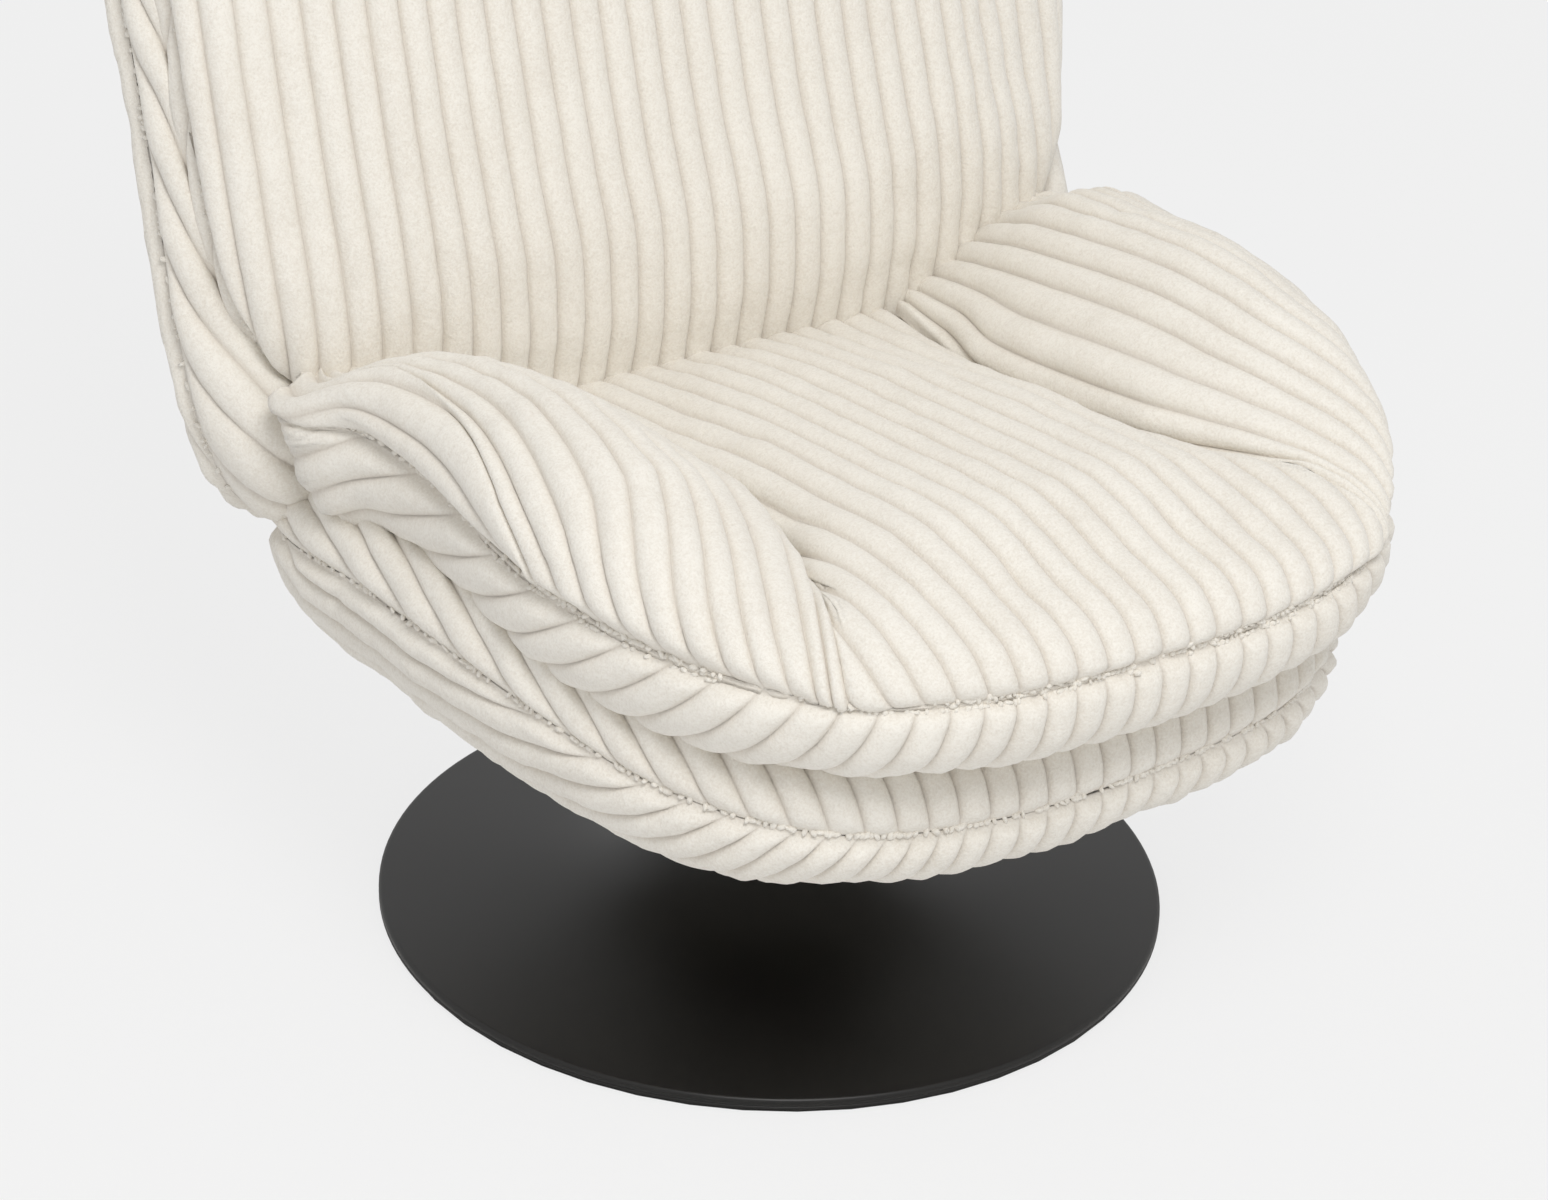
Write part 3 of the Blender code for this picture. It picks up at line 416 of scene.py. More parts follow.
class Band:
    # A ribbed strip that follows an outline from its seam. Laid flat it bends by only a share of the
    # outline's own turn, so its ribs meet the seam squarely in the middle and at a slant along the sides.
    def __init__(self, outline, section, place, reach, turnShare, last, faceUp=True):
        self.place = place
        self.faceUp = faceUp
        angle = np.linspace(-quarterTurn, quarterTurn, cloth["outlineSteps"])
        cosine, sine = np.maximum(np.cos(angle), 0.0), np.sin(angle)
        power, length = outline.parts(sine)
        x = outline.half * cosine ** (2.0 / power)
        y = outline.centre + length * np.sign(sine) * np.abs(sine) ** (2.0 / power)
        run = distance(x, y)
        self.run = np.linspace(0.0, run[-1], cloth["bandSteps"])
        self.x = np.interp(self.run, run, x)
        self.y = np.interp(self.run, run, y)
        turn = np.unwrap(np.arctan2(np.gradient(self.y), np.gradient(self.x)))
        turn = np.pad(np.clip(turn, 0.0, math.pi), cloth["evened"], mode="edge")
        window = 2 * cloth["evened"] + 1
        self.turn = np.convolve(turn, np.full(window, 1.0 / window), mode="valid")
        bend = np.minimum(self.turn * turnShare, cloth["steepest"])
        flat = np.cumsum(np.cos(bend) * np.gradient(self.run))
        self.makeGrid(section, reach, bend, flat - flat[0], last)

    def makeGrid(self, section, reach, bend, flat, last):
        most = flat[np.nonzero(self.y < last)[0][-1]]
        half = ribColumns(np.arange(0, math.ceil(most / cloth["wale"]) + 1))
        half = np.append(half[half < most - cloth["lastRib"]], most)
        near = cloth["seamSteps"]
        count = max(int(reach / cloth["rowStep"]), cloth["fewestRows"])
        rows = np.append(near, np.linspace(near[-1], reach, count)[1:])
        points, seam = [], []
        for row in rows:
            shifted = flat - row * np.sin(bend)
            run = np.interp(half, np.maximum.accumulate(shifted), self.run)
            x = np.interp(run, self.run, self.x)
            y = np.interp(run, self.run, self.y)
            turn = np.interp(run, self.run, self.turn)
            across, along = np.sin(turn), -np.cos(turn)
            inward, height = section(row, x, y, across, along)
            points.append(upright(x - across * inward, y - along * inward, height))
            seam.append(np.full(len(half), row))
        points = np.stack(points, axis=1)
        seam = np.stack(seam, axis=1)
        mirrored = points[:0:-1] * np.array((-1.0, 1.0, 1.0))
        self.points = np.concatenate([mirrored, points])
        self.seam = np.concatenate([seam[:0:-1], seam])
        signed = np.concatenate([-half[:0:-1], half]) / cloth["wale"]
        self.flat = np.repeat(signed[:, None], len(rows), axis=1)


class Patchwork:  # panels gathered into one mesh, with seams sewn between them
    def __init__(self):
        self.points = []
        self.flat = []
        self.seam = []
        self.faces = []
        self.count = 0

    def add(self, panel, mirror=False):
        points = panel.points.copy()
        if mirror:
            points[..., 0] *= -1.0
        placed = panel.place(points[..., 0], points[..., 1], points[..., 2])
        columns, rows = panel.flat.shape
        index = np.arange(columns * rows).reshape(columns, rows) + self.count
        self.points.append(placed.reshape(-1, 3))
        self.flat.append(panel.flat.ravel())
        self.seam.append(panel.seam.ravel())
        self.count += columns * rows
        corners = [index[:-1, :-1], index[1:, :-1], index[1:, 1:], index[:-1, 1:]]
        quads = np.stack(corners, axis=-1).reshape(-1, 4)
        if panel.faceUp == mirror:
            quads = quads[:, ::-1]
        self.faces.extend(map(tuple, quads.tolist()))
        return index

    def sew(self, first, second):  # fills between two nearly touching lines, by the shorter diagonal
        spots = np.concatenate(self.points)
        here, there = 0, 0
        while here < len(first) - 1 or there < len(second) - 1:
            goFirst = np.inf
            goSecond = np.inf
            if here < len(first) - 1:
                goFirst = np.linalg.norm(spots[first[here + 1]] - spots[second[there]])
            if there < len(second) - 1:
                goSecond = np.linalg.norm(spots[first[here]] - spots[second[there + 1]])
            if goFirst <= goSecond:
                self.faces.append((first[here], first[here + 1], second[there]))
                here += 1
            else:
                self.faces.append((first[here], second[there + 1], second[there]))
                there += 1

    def cap(self, loop, spot):  # closes a hidden loop to one point
        self.points.append(np.array([spot], dtype=float))
        self.flat.append(np.zeros(1))
        self.seam.append(np.full(1, farFromSeam))
        for here, after in zip(loop, loop[1:] + loop[:1]):
            self.faces.append((here, after, self.count))
        self.count += 1

    def sewBand(self, loop, band, spot):  # sews a band to part of a loop and closes the rest out of sight
        spots = np.concatenate(self.points)
        ends = []
        for corner in (band[0, 0], band[-1, 0]):
            ends.append(int(np.argmin(np.linalg.norm(spots[loop] - spots[corner], axis=1))))
        loop = loop[ends[0]:] + loop[:ends[0]]
        split = (ends[1] - ends[0]) % len(loop)
        self.sew(loop[:split + 1], list(band[:, 0]))
        rest = loop[split:] + [loop[0]]
        self.cap(rest + list(band[0, :]) + list(band[1:, -1]) + list(band[-1, -2::-1]), spot)

    def build(self, name):
        mesh = newMesh(name, np.concatenate(self.points).tolist(), self.faces)
        for key, values in (("wale", self.flat), ("seam", self.seam)):
            layer = mesh.attributes.new(key, "FLOAT", "POINT")
            layer.data.foreach_set("value", np.concatenate(values).astype(np.float32))
        with editing(mesh) as made:
            bmesh.ops.dissolve_degenerate(made, dist=hair, edges=made.edges)
            bmesh.ops.recalc_face_normals(made, faces=made.faces)
        mesh.shade_smooth()
        return newObject(name, mesh)


def loopOf(index):  # the four sides of a grid, in order
    return list(index[:, 0]) + list(index[-1, 1:]) + list(index[-2::-1, -1]) + list(index[0, -2:0:-1])


seat = {
    "half": 0.335,
    "centre": 0.060,
    "front": 0.487,
    "rear": 0.078,
    "frontPower": 3.1,
    "rearPower": 7.0,
    "rearOpen": (0.175, 0.245),  # half widths between which the rear edge starts to roll down
    "seamFront": 0.403,
    "seamSlope": 0.10,
    "crownFront": 0.042,
    "crownY": -0.33,
    "crownFall": 0.225,
    "rollPower": 7.0,
    "rollRear": 3.5,  # added at the arms' rear ends
    "rollLimits": (-0.04, 0.08),
    "armHeight": 0.100,
    "armPeak": -0.186,
    "armFrontSpan": 0.270,
    "armFrontPower": 2.5,
    "armRearSpan": 0.300,
    "armRise": 0.130,
    "armFullness": 0.65,  # below 1 the arm starts steeply at the crease
    "armBulge": 0.013,  # how far the arms swell past their seam
    "bulgeRing": (0.80, 0.97),
    "armSlant": 0.65,  # 0 keeps the arm ribs level, 1 runs them straight to the front
    "armOuter": 0.360,
    "armSpread": -0.12,
    "armBeyond": 0.2,  # what a share past the outer edge adds to the distance
    "armSteps": 2000,  # points on the level line across an arm
    "edgeSteps": 20001,  # lengths at which the crease is held against the outline
    "overhang": 0.016,  # how far the arm's foot leans over the crease
    "foot": (0.018, 0.016),  # its middle, outwards from the crease, and its run
    "footLimits": (-0.03, 0.05),  # where the overhang fades to the rear
    "creaseX": 0.156,
    "creaseWidth": 0.016,
    "creaseDepth": 0.034,
    "creaseSpan": 0.21,
    "creaseY": -0.12,
    "creaseSoft": 0.006,  # eases the pinch at the crease's front end
    "softLimits": (-0.31, -0.23),
    "softRun": 0.03,
    "flare": 0.060,  # the crease runs outwards at its front end
    "flareFrom": -0.20,
    "flareRun": 0.185,
    "flarePower": 1.15,
    "boxing": 0.076,
    "boxingDeeper": 0.014,  # at the sides
    "boxingSide": 0.040,
    "boxingFront": 0.058,
    "boxingRear": 0.015,
    "boxingSwell": 0.005,
    "boxingRound": 1.12,  # quarter turns before it runs on inwards
    "boxingReach": 0.150,
    "boxingTurn": 0.75,
    "boxingEnd": 0.1365,
    "waist": 0.014,  # the sides pull in between the corners
    "waistAt": (-0.05, 0.09),  # middle and run
    "bulb": 0.034,  # the back squeezes the arm's rear end outwards
    "bulbAt": (0.100, 0.040),
    "bulbDip": 0.020,
    "sunk": 0.017,  # how far the rear may stand inside the back cushion's face
    "tipSoft": 0.006,  # eases the seam at the arms' rear ends
    "tipY": (0.03, 0.10),
    "tipX": (0.24, 0.31),
    "tipSteps": 24,
    "centreRows": (0.10, 18, 46),  # length of the even band, its rows and the rows behind it
    "armRows": (0.08, 16, 44),
    "rearReach": 0.004,
    "capSpot": (0.0, 0.115, 0.29),
}
seatOutline = Outline(
    seat["half"], seat["centre"], seat["front"], seat["rear"], seat["frontPower"], seat["rearPower"]
)

shell = {
    "half": 0.332,
    "centre": 0.064,
    "front": 0.440,
    "rear": 0.194,
    "power": 3.2,
    "floor": 0.209,
    "rimFront": 0.2813,
    "rimSlope": 0.349,
    "rimBend": 0.539,
    "floorShare": 0.34,
    "bowlPower": 2.5,
    "rounds": 30,  # steps in which a point finds its place on the bowl
    "window": 0.106,
    "skin": 0.005,
    "rows": (0.20, 30, 40),
}
shellOutline = Outline(
    shell["half"], shell["centre"], shell["front"], shell["rear"], shell["power"], shell["power"]
)

back = {
    "footY": 0.158,
    "footZ": 0.440,
    "lean": math.radians(16),
    "centre": 0.270,
    "half": 0.362,
    "down": 0.355,
    "up": 0.300,
    "lowPower": 3.8,
    "highPower": 2.5,
    "crown": 0.050,
    "belly": 0.020,  # extra fullness where the back meets the seat
    "bellyAt": (-0.01, 0.10),
    "rollPower": 6.0,
    "boxing": 0.027,
    "boxingDepth": 0.030,
    "boxingReach": 0.055,
    "boxingTurn": 0.80,
    "boxingEnd": 0.070,
    "rows": (0.10, 18, 46),
    "capSpot": (0.0, 0.27, -0.04),  # across, up the back and forward
}
backOutline = Outline(
    back["half"], back["centre"], back["down"], back["up"], back["lowPower"], back["highPower"]
)

backShell = {
    "half": 0.374,
    "down": 0.400,
    "up": 0.325,
    "power": 7.5,
    "floor": -0.1093,
    "rimTop": -0.045,
    "rimTurn": -0.06,
    "rimDeepest": -0.058,
    "rows": (0.14, 22, 50),
}
backShellOutline = Outline(
    backShell["half"],
    back["centre"],
    backShell["down"],
    backShell["up"],
    backShell["power"],
    back["highPower"],
)
backRise = np.array((0.0, math.sin(back["lean"]), math.cos(back["lean"])))
backFacing = np.array((0.0, -math.cos(back["lean"]), math.sin(back["lean"])))
backFoot = np.array((0.0, back["footY"], back["footZ"]))


def upright(x, y, z):
    return np.stack([x, y, z], axis=-1)


def uprightFlipped(x, y, z):
    return upright(x, -y, z)


def leaning(x, rise, forward):
    sideways = np.stack([x, np.zeros_like(x), np.zeros_like(x)], axis=-1)
    return backFoot + sideways + rise[..., None] * backRise + forward[..., None] * backFacing


def leaningFlipped(x, fall, forward):
    return leaning(x, -fall, forward)


def seatSeam(y):
    return seat["seamFront"] + seat["seamSlope"] * (y - seatOutline.low())


def creaseX(y):
    flare = np.clip((seat["flareFrom"] - y) / seat["flareRun"], 0.0, 1.0)
    return seat["creaseX"] + seat["flare"] * flare ** seat["flarePower"]


def seatCentre(y):  # the middle of the seat, over its seam
    return seat["crownFront"] - seat["crownFall"] * (y - seat["crownY"])


def armOver(y):  # how far the arms stand over the middle
    fromPeak = y - seat["armPeak"]
    ahead = np.clip(-fromPeak / seat["armFrontSpan"], 0.0, None) ** seat["armFrontPower"]
    behind = np.clip(fromPeak / seat["armRearSpan"], 0.0, None) ** 2
    return np.maximum(seat["armHeight"] * (1.0 - ahead - behind) - seatCentre(y), 0.0)


def seatRing(x, y):  # as the outline's own radius, but open at the rear, where the back covers the seat
    power = seat["rearPower"]
    share = np.clip((y - seat["centre"]) / seat["rear"], 0.0, 1.0) * smoothStep(*seat["rearOpen"], np.abs(x))
    behind = (np.abs(x / seat["half"]) ** power + share**power) ** (1.0 / power)
    return np.where(y > seat["centre"], behind, seatOutline.radius(x, y))


def seatOver(x, y):
    ring = seatRing(x, y)
    outside = np.abs(x) - creaseX(y)
    side = smoothStep(0.0, seat["armRise"], outside) ** seat["armFullness"]
    groove = seat["creaseDepth"] * bell(outside, 0.0, seat["creaseWidth"])
    groove = groove * np.maximum(1.0 - ((y - seat["creaseY"]) / seat["creaseSpan"]) ** 2, 0.0)
    power = seat["rollPower"] + seat["rollRear"] * smoothStep(*seat["rollLimits"], y)
    return seatSeam(y) + roll(ring, power) * (seatCentre(y) + armOver(y) * side - groove)


def seatPlace(x, y, z):  # what a height over the plan can't give: bulging sides and a leaning arm foot
    ring = seatOutline.radius(x, y)
    lift = np.clip((z - seatSeam(y)) / seat["armHeight"], 0.0, 1.0)
    swell = seat["armBulge"] * 4.0 * lift * (1.0 - lift)
    swell = swell * smoothStep(*seat["bulgeRing"], ring) * np.abs(x / seat["half"]) ** 3
    rim = np.clip(ring, 0.0, 1.0) ** 2 * np.clip(np.abs(x) / seat["half"], 0.0, 1.0)
    bulb = bell(y, *seat["bulbAt"])
    swell = swell + rim * (seat["bulb"] * bulb - seat["waist"] * bell(y, *seat["waistAt"]))
    outside = np.abs(x) - creaseX(y)
    lean = seat["overhang"] * bell(outside, *seat["foot"]) * armOver(y) / seat["armHeight"]
    lean = lean * (1.0 - smoothStep(*seat["footLimits"], y))
    return pressedOnBack(upright(x + np.sign(x) * (swell - lean), y, z - seat["bulbDip"] * rim * bulb))


def pressedOnBack(points):  # pushes the seat's rear level forwards, off the back cushion
    local = points - backFoot
    rise = local @ backRise
    forward = local @ backFacing
    ring = backOutline.radius(points[..., 0], rise)
    push = np.where(ring < 1.0, backOver(points[..., 0], rise) - seat["sunk"] - forward, 0.0)
    return points - np.maximum(push, 0.0)[..., None] / math.cos(back["lean"]) * np.array((0.0, 1.0, 0.0))


def seatBoxing(row, x, y, across, along):  # how far inwards a row lies, and its height
    depth = np.where(along < 0, seat["boxingFront"], seat["boxingRear"])
    depth = seat["boxingSide"] * np.abs(across) + depth * np.abs(along)
    height = seat["boxing"] + seat["boxingDeeper"] * across**2
    quarter = quarterArc(depth, height)
    turn = np.minimum(row / quarter, seat["boxingRound"]) * quarterTurn
    inward = depth * (1.0 - np.cos(turn)) + np.maximum(row - seat["boxingRound"] * quarter, 0.0)
    inward = inward - seat["boxingSwell"] * np.sin(np.minimum(2.0 * turn, math.pi))
    return inward, seatSeam(y) - height * np.sin(turn)


def backOver(x, rise):
    ring = backOutline.radius(x, rise)
    belly = back["belly"] * bell(rise, *back["bellyAt"])
    return (back["crown"] + belly) * roll(ring, back["rollPower"])


def backBoxing(row, x, fall, across, along):
    quarter = quarterArc(back["boxingDepth"], back["boxing"])
    turn = min(row / quarter, 1.0) * quarterTurn
    inward = back["boxingDepth"] * (1.0 - math.cos(turn)) + max(row - quarter, 0.0)
    return inward, np.full_like(x, -back["boxing"] * math.sin(turn))


def bowlHeight(outline, x, y, hub, rim, floor):  # a bowl whose centre moves to the hub on its way in
    share = np.ones_like(x)
    for _ in range(shell["rounds"]):
        towards = np.clip((1.0 - share) / (1.0 - shell["floorShare"]), 0.0, 1.0)
        middle = outline.centre + (hub - outline.centre) * towards
        share = np.clip(outline.radius(x, y - middle + outline.centre), hair, 1.0)
    edge = rim(outline.centre + (y - middle) / share)
    rounded = np.clip((share - shell["floorShare"]) / (1.0 - shell["floorShare"]), 0.0, 1.0)
    drop = (1.0 - rounded ** shell["bowlPower"]) ** (1.0 / shell["bowlPower"])
    return edge - (edge - floor) * drop


def seatRim(y):
    travel = y - shellOutline.low()
    return shell["rimFront"] + shell["rimSlope"] * travel - shell["rimBend"] * travel * travel


def backRim(rise):
    fall = smoothStep(back["centre"] - backShell["down"], backShell["rimTurn"], rise)
    return backShell["rimDeepest"] + (backShell["rimTop"] - backShell["rimDeepest"]) * fall


def seatCoverHeight(x, y):
    return bowlHeight(shellOutline, x, y, 0.0, seatRim, shell["floor"])


def backCoverHeight(x, rise):
    return bowlHeight(backShellOutline, x, rise, back["centre"], backRim, backShell["floor"])


frontEdge = {"height": 0.040, "depth": 0.044, "end": 0.185, "taper": 0.055, "turn": 0.80}
rearEdge = {
    "height": 0.011,
    "depth": 0.018,
    "deeper": 0.018,  # in the middle of the rear edge
    "half": 0.264,
    "end": -0.222,
    "turn": 0.3,
}
backEdge = {
    "height": 0.028,
    "depth": 0.032,
    "end": 0.127,
    "taper": 0.014,
    "turn": 0.80,
    "taller": 0.034,  # at the lower ends
    "tallLimits": (-0.05, 0.075),
    "wider": 0.030,
    "wideLimits": (-0.14, 0.0),
}
lips = {
    "endFall": 0.94,  # share of the squared height that is lost at a lip's ends
    "innerPower": 0.5,  # below 1 the inner side is fuller
    "cover": 0.98,  # share of the way round a lip that its cloth runs
}


def lipQuarter(lip):
    return quarterArc(0.5 * lip["depth"], lip["height"])


def lipTaper(y, lip):
    before = np.clip((y - (lip["end"] - lip["taper"])) / lip["taper"], 0.0, 1.0)
    return np.sqrt(np.maximum(1.0 - lips["endFall"] * before * before, 0.0))


def lipTurn(row, lip):  # angle round a padded lip after a surface distance
    return min(row / lipQuarter(lip), 2.0) * quarterTurn


def lipRise(turn):
    arc = max(math.sin(turn), 0.0)
    return arc if turn < quarterTurn else arc ** lips["innerPower"]


def seatLip(row, x, y, across, along):
    turn = lipTurn(row, frontEdge)
    inward = 0.5 * frontEdge["depth"] * (1.0 - math.cos(turn))
    return inward, seatRim(y) + frontEdge["height"] * lipTaper(y, frontEdge) * lipRise(turn)


def rearLip(row, x, y, across, along):
    turn = lipTurn(row, rearEdge)
    depth = rearEdge["depth"] + rearEdge["deeper"] * np.maximum(1.0 - (x / rearEdge["half"]) ** 2, 0.0)
    return 0.5 * depth * (1.0 - math.cos(turn)), seatRim(-y) + rearEdge["height"] * lipRise(turn)


def backLip(row, x, fall, across, along):
    turn = lipTurn(row, backEdge)
    low = smoothStep(*backEdge["tallLimits"], fall)
    wide = smoothStep(*backEdge["wideLimits"], fall)
    inward = 0.5 * (backEdge["depth"] + backEdge["wider"] * wide) * (1.0 - math.cos(turn))
    height = (backEdge["height"] + backEdge["taller"] * low) * lipTaper(fall, backEdge)
    return inward, backRim(-fall) + height * lipRise(turn)


def newTree(name, inputs):  # an empty geometry tree with named inputs, its wiring and a way to its inputs
    tree = bpy.data.node_groups.new(name, "GeometryNodeTree")
    face = tree.interface
    face.new_socket("Geometry", in_out="INPUT", socket_type="NodeSocketGeometry")
    for key, value in inputs.items():
        kind = "NodeSocketInt" if isinstance(value, int) else "NodeSocketFloat"
        socket = face.new_socket(key, in_out="INPUT", socket_type=kind)
        socket.default_value = value
    face.new_socket("Geometry", in_out="OUTPUT", socket_type="NodeSocketGeometry")
    wiring = Wiring(tree)
    return tree, wiring, wiring.node("NodeGroupInput").output


def applyTree(piece, tree, values):  # runs a geometry tree and keeps its result as a plain mesh
    step = piece.modifiers.new("geometry", "NODES")
    step.node_group = tree
    for item in tree.interface.items_tree:
        if item.in_out == "INPUT" and item.name in values:
            step[item.identifier] = values[item.name]
    keepResult(piece)


def keepResult(piece):
    graph = bpy.context.evaluated_depsgraph_get()
    made = bpy.data.meshes.new_from_object(piece.evaluated_get(graph))
    piece.modifiers.clear()
    old = piece.data
    piece.data = made
    bpy.data.meshes.remove(old)


ribInputs = {
    "Rib height": 0.005,
    "Rib fullness": 2.0,
    "Seam fade": 0.010,
    "Seam depth": 0.004,
    "Seam width": 0.005,
    "Drift": 0.002,
    "Puff": 0.002,
    "Seed": 1.0,
}
cushionRibs = {"Rib height": 0.0066}
coverRibs = {"Rib height": 0.0068, "Seam depth": 0.0015, "Drift": 0.004, "Puff": 0.0032}
ribShape = {
    "roundness": 0.72,
    "wander": 7.0,  # scales of the noises
    "uneven": 26.0,
    "pucker": 95.0,
    "heights": (0.75, 0.5),  # least share of the rib height, and what the uneven noise adds
    "depths": (0.4, 1.2),  # the same for the seam depth and the pucker noise
}


def ribTree(material):  # raises the wales, pulls the cloth in at the seams and lets both wander a little
    tree, wiring, given = newTree("waleRibs", ribInputs)

    def stored(name):
        return wiring.node("GeometryNodeInputNamedAttribute", {"data_type": "FLOAT"}, name)

    place = wiring.node("GeometryNodeInputPosition")
    normal = wiring.node("GeometryNodeInputNormal")
    seam = stored("seam")
    turn = (stored("wale").maths("FRACT") * 2.0 - 1.0).maths("ABSOLUTE")
    rib = (1.0 - turn ** given("Rib fullness")).maths("MAXIMUM", 0.0) ** ribShape["roundness"]
    fade = wiring.node(
        "ShaderNodeMapRange", {"interpolation_type": "SMOOTHSTEP"}, seam, 0.0, given("Seam fade"), 0.0, 1.0
    )
    wander = wiring.noise(place, ribShape["wander"], 1.0, W=1.0)
    uneven = wiring.noise(place, ribShape["uneven"], 2.0, W=given("Seed") + 5.0)
    pucker = wiring.noise(place, ribShape["pucker"], 2.0, W=given("Seed") + 9.0)
    pull = (0.0 - (seam / given("Seam width")) ** 2.0).maths("EXPONENT")
    lowRib, addedRib = ribShape["heights"]
    lowSeam, addedSeam = ribShape["depths"]
    lift = given("Rib height") * rib * fade * (lowRib + addedRib * uneven)
    lift = lift - given("Seam depth") * pull * (lowSeam + addedSeam * pucker)
    lift = lift + given("Puff") * (uneven - 0.5) * 2.0 * fade
    rise = wiring.vector("SCALE", normal, Scale=lift)
    offCentre = wiring.vector("SUBTRACT", wander.output("Color"), (0.5, 0.5, 0.5))
    drift = wiring.vector("SCALE", offCentre, Scale=given("Drift") * 2.0)
    moved = wiring.vector("ADD", rise, drift)
    shaped = wiring.node("GeometryNodeSetPosition", None, given("Geometry"), Offset=moved)
    smooth = wiring.node("GeometryNodeSetShadeSmooth", None, shaped)
    real = wiring.node("GeometryNodeRealizeInstances", None, smooth)
    painted = wiring.node("GeometryNodeSetMaterial", None, real, Material=material)
    wiring.node("NodeGroupOutput", None, painted)
    return tree


filling = {
    "voxel": 0.009,
    "frames": 20,
    "drawnIn": 0.002,  # the shape starts this much smaller
    "limit": 0.012,  # the most that a point may move
    "hold": (0.022, 0.085),  # the movement grows between these distances from a seam
    "sewn": 0.0004,  # points nearer than this are on a seam
    "pinned": 0.010,  # how far round the seams the copy is held
    "nearest": 5,  # points of the copy that one point of the cushion follows
    "nearness": 0.002,
    "cloth": {
        "use_pressure": True,
        "uniform_pressure_force": 6.0,
        "vertex_group_mass": "pin",
        "quality": 5,
        "mass": 0.3,
        "tension_stiffness": 12.0,
        "compression_stiffness": 12.0,
        "shear_stiffness": 5.0,
        "bending_stiffness": 0.4,
    },
}


def stuffed(piece):  # fills a copy with a pressed cloth simulation and takes its movement over
    seam = seamDistance(piece.data)
    fine = coordinates(piece.data)
    proxy = newObject(piece.name + "Proxy", piece.data.copy())
    step = proxy.modifiers.new("remesh", "REMESH")
    step.mode = "VOXEL"
    step.voxel_size = filling["voxel"]
    keepResult(proxy)
    coarse = coordinates(proxy.data)
    small = coarse - coordinates(proxy.data, normals=True) * filling["drawnIn"]
    seams = searchTree(fine[seam < filling["sewn"]])
    group = proxy.vertex_groups.new(name="pin")
    for index, spot in enumerate(coarse):
        if seams.find(spot)[2] < filling["pinned"]:
            group.add([index], 1.0, "REPLACE")
    setCoordinates(proxy.data, small)
    step = proxy.modifiers.new("filling", "CLOTH")
    for key, value in filling["cloth"].items():
        setattr(step.settings, key, value)
    step.settings.effector_weights.gravity = 0.0
    step.collision_settings.use_collision = False
    step.collision_settings.use_self_collision = False
    step.point_cache.frame_start = 1
    step.point_cache.frame_end = filling["frames"]
    for number in range(1, filling["frames"] + 1):
        scene.frame_set(number)
    graph = bpy.context.evaluated_depsgraph_get()
    moved = coordinates(proxy.evaluated_get(graph).data) - coarse
    scene.frame_set(1)
    length = np.linalg.norm(moved, axis=1)
    print(piece.name, "filled:", len(coarse), "points, moved", length.mean().round(4), length.max().round(4))
    moved *= np.minimum(1.0, filling["limit"] / np.maximum(length, tiny))[:, None]
    tree = searchTree(coarse)
    share = smoothStep(*filling["hold"], seam)
    for index in np.nonzero(share > 0.0)[0]:
        near = tree.find_n(fine[index], filling["nearest"])
        weights = np.array([1.0 / (found[2] + filling["nearness"]) for found in near])
        drawn = moved[[found[1] for found in near]]
        fine[index] += share[index] * (weights @ drawn) / weights.sum()
    setCoordinates(piece.data, fine)
    removePiece(proxy)


def thicken(piece, thickness):
    skin = piece.modifiers.new("thickness", "SOLIDIFY")
    skin.thickness = thickness
    skin.offset = -1.0
    keepResult(piece)


plush = {
    "stops": ((0.36, (0.775, 0.725, 0.645, 1.0)), (0.57, (0.885, 0.85, 0.78, 1.0))),  # deep and at the tips
    "shares": (0.55, 0.28, 0.17),  # of the pile, the tufts and the cloud in the colour
    "paintedShadeColour": (0.53, 0.455, 0.375, 1.0),  # painted shade, the colour mixed in between the ribs and along the seams, where shade falls
    # how much painted shade is mixed in, how narrow it is in the rib valleys, and its run and share along
    # the seams
    "paintedShadeShare": 0.42,
    "valleyShadePower": 7.0,
    "seamWidth": 0.0035,
    "seamShadeShare": 0.6,
    "pile": 560.0,  # scales of the noises
    "tuft": 190.0,
    "cloud": 14.0,
    "fuzz": 0.65,  # roughness of the pile and tuft noises
    "height": 0.8,  # share of each in the bump
    "rough": (0.86, 0.12),  # at the least, and what the tufts add
    "bump": (0.55, 0.0014),  # strength and depth
    "more": {"Sheen_Weight": 0.25, "Sheen_Roughness": 0.5, "Specular_IOR_Level": 0.15},
}


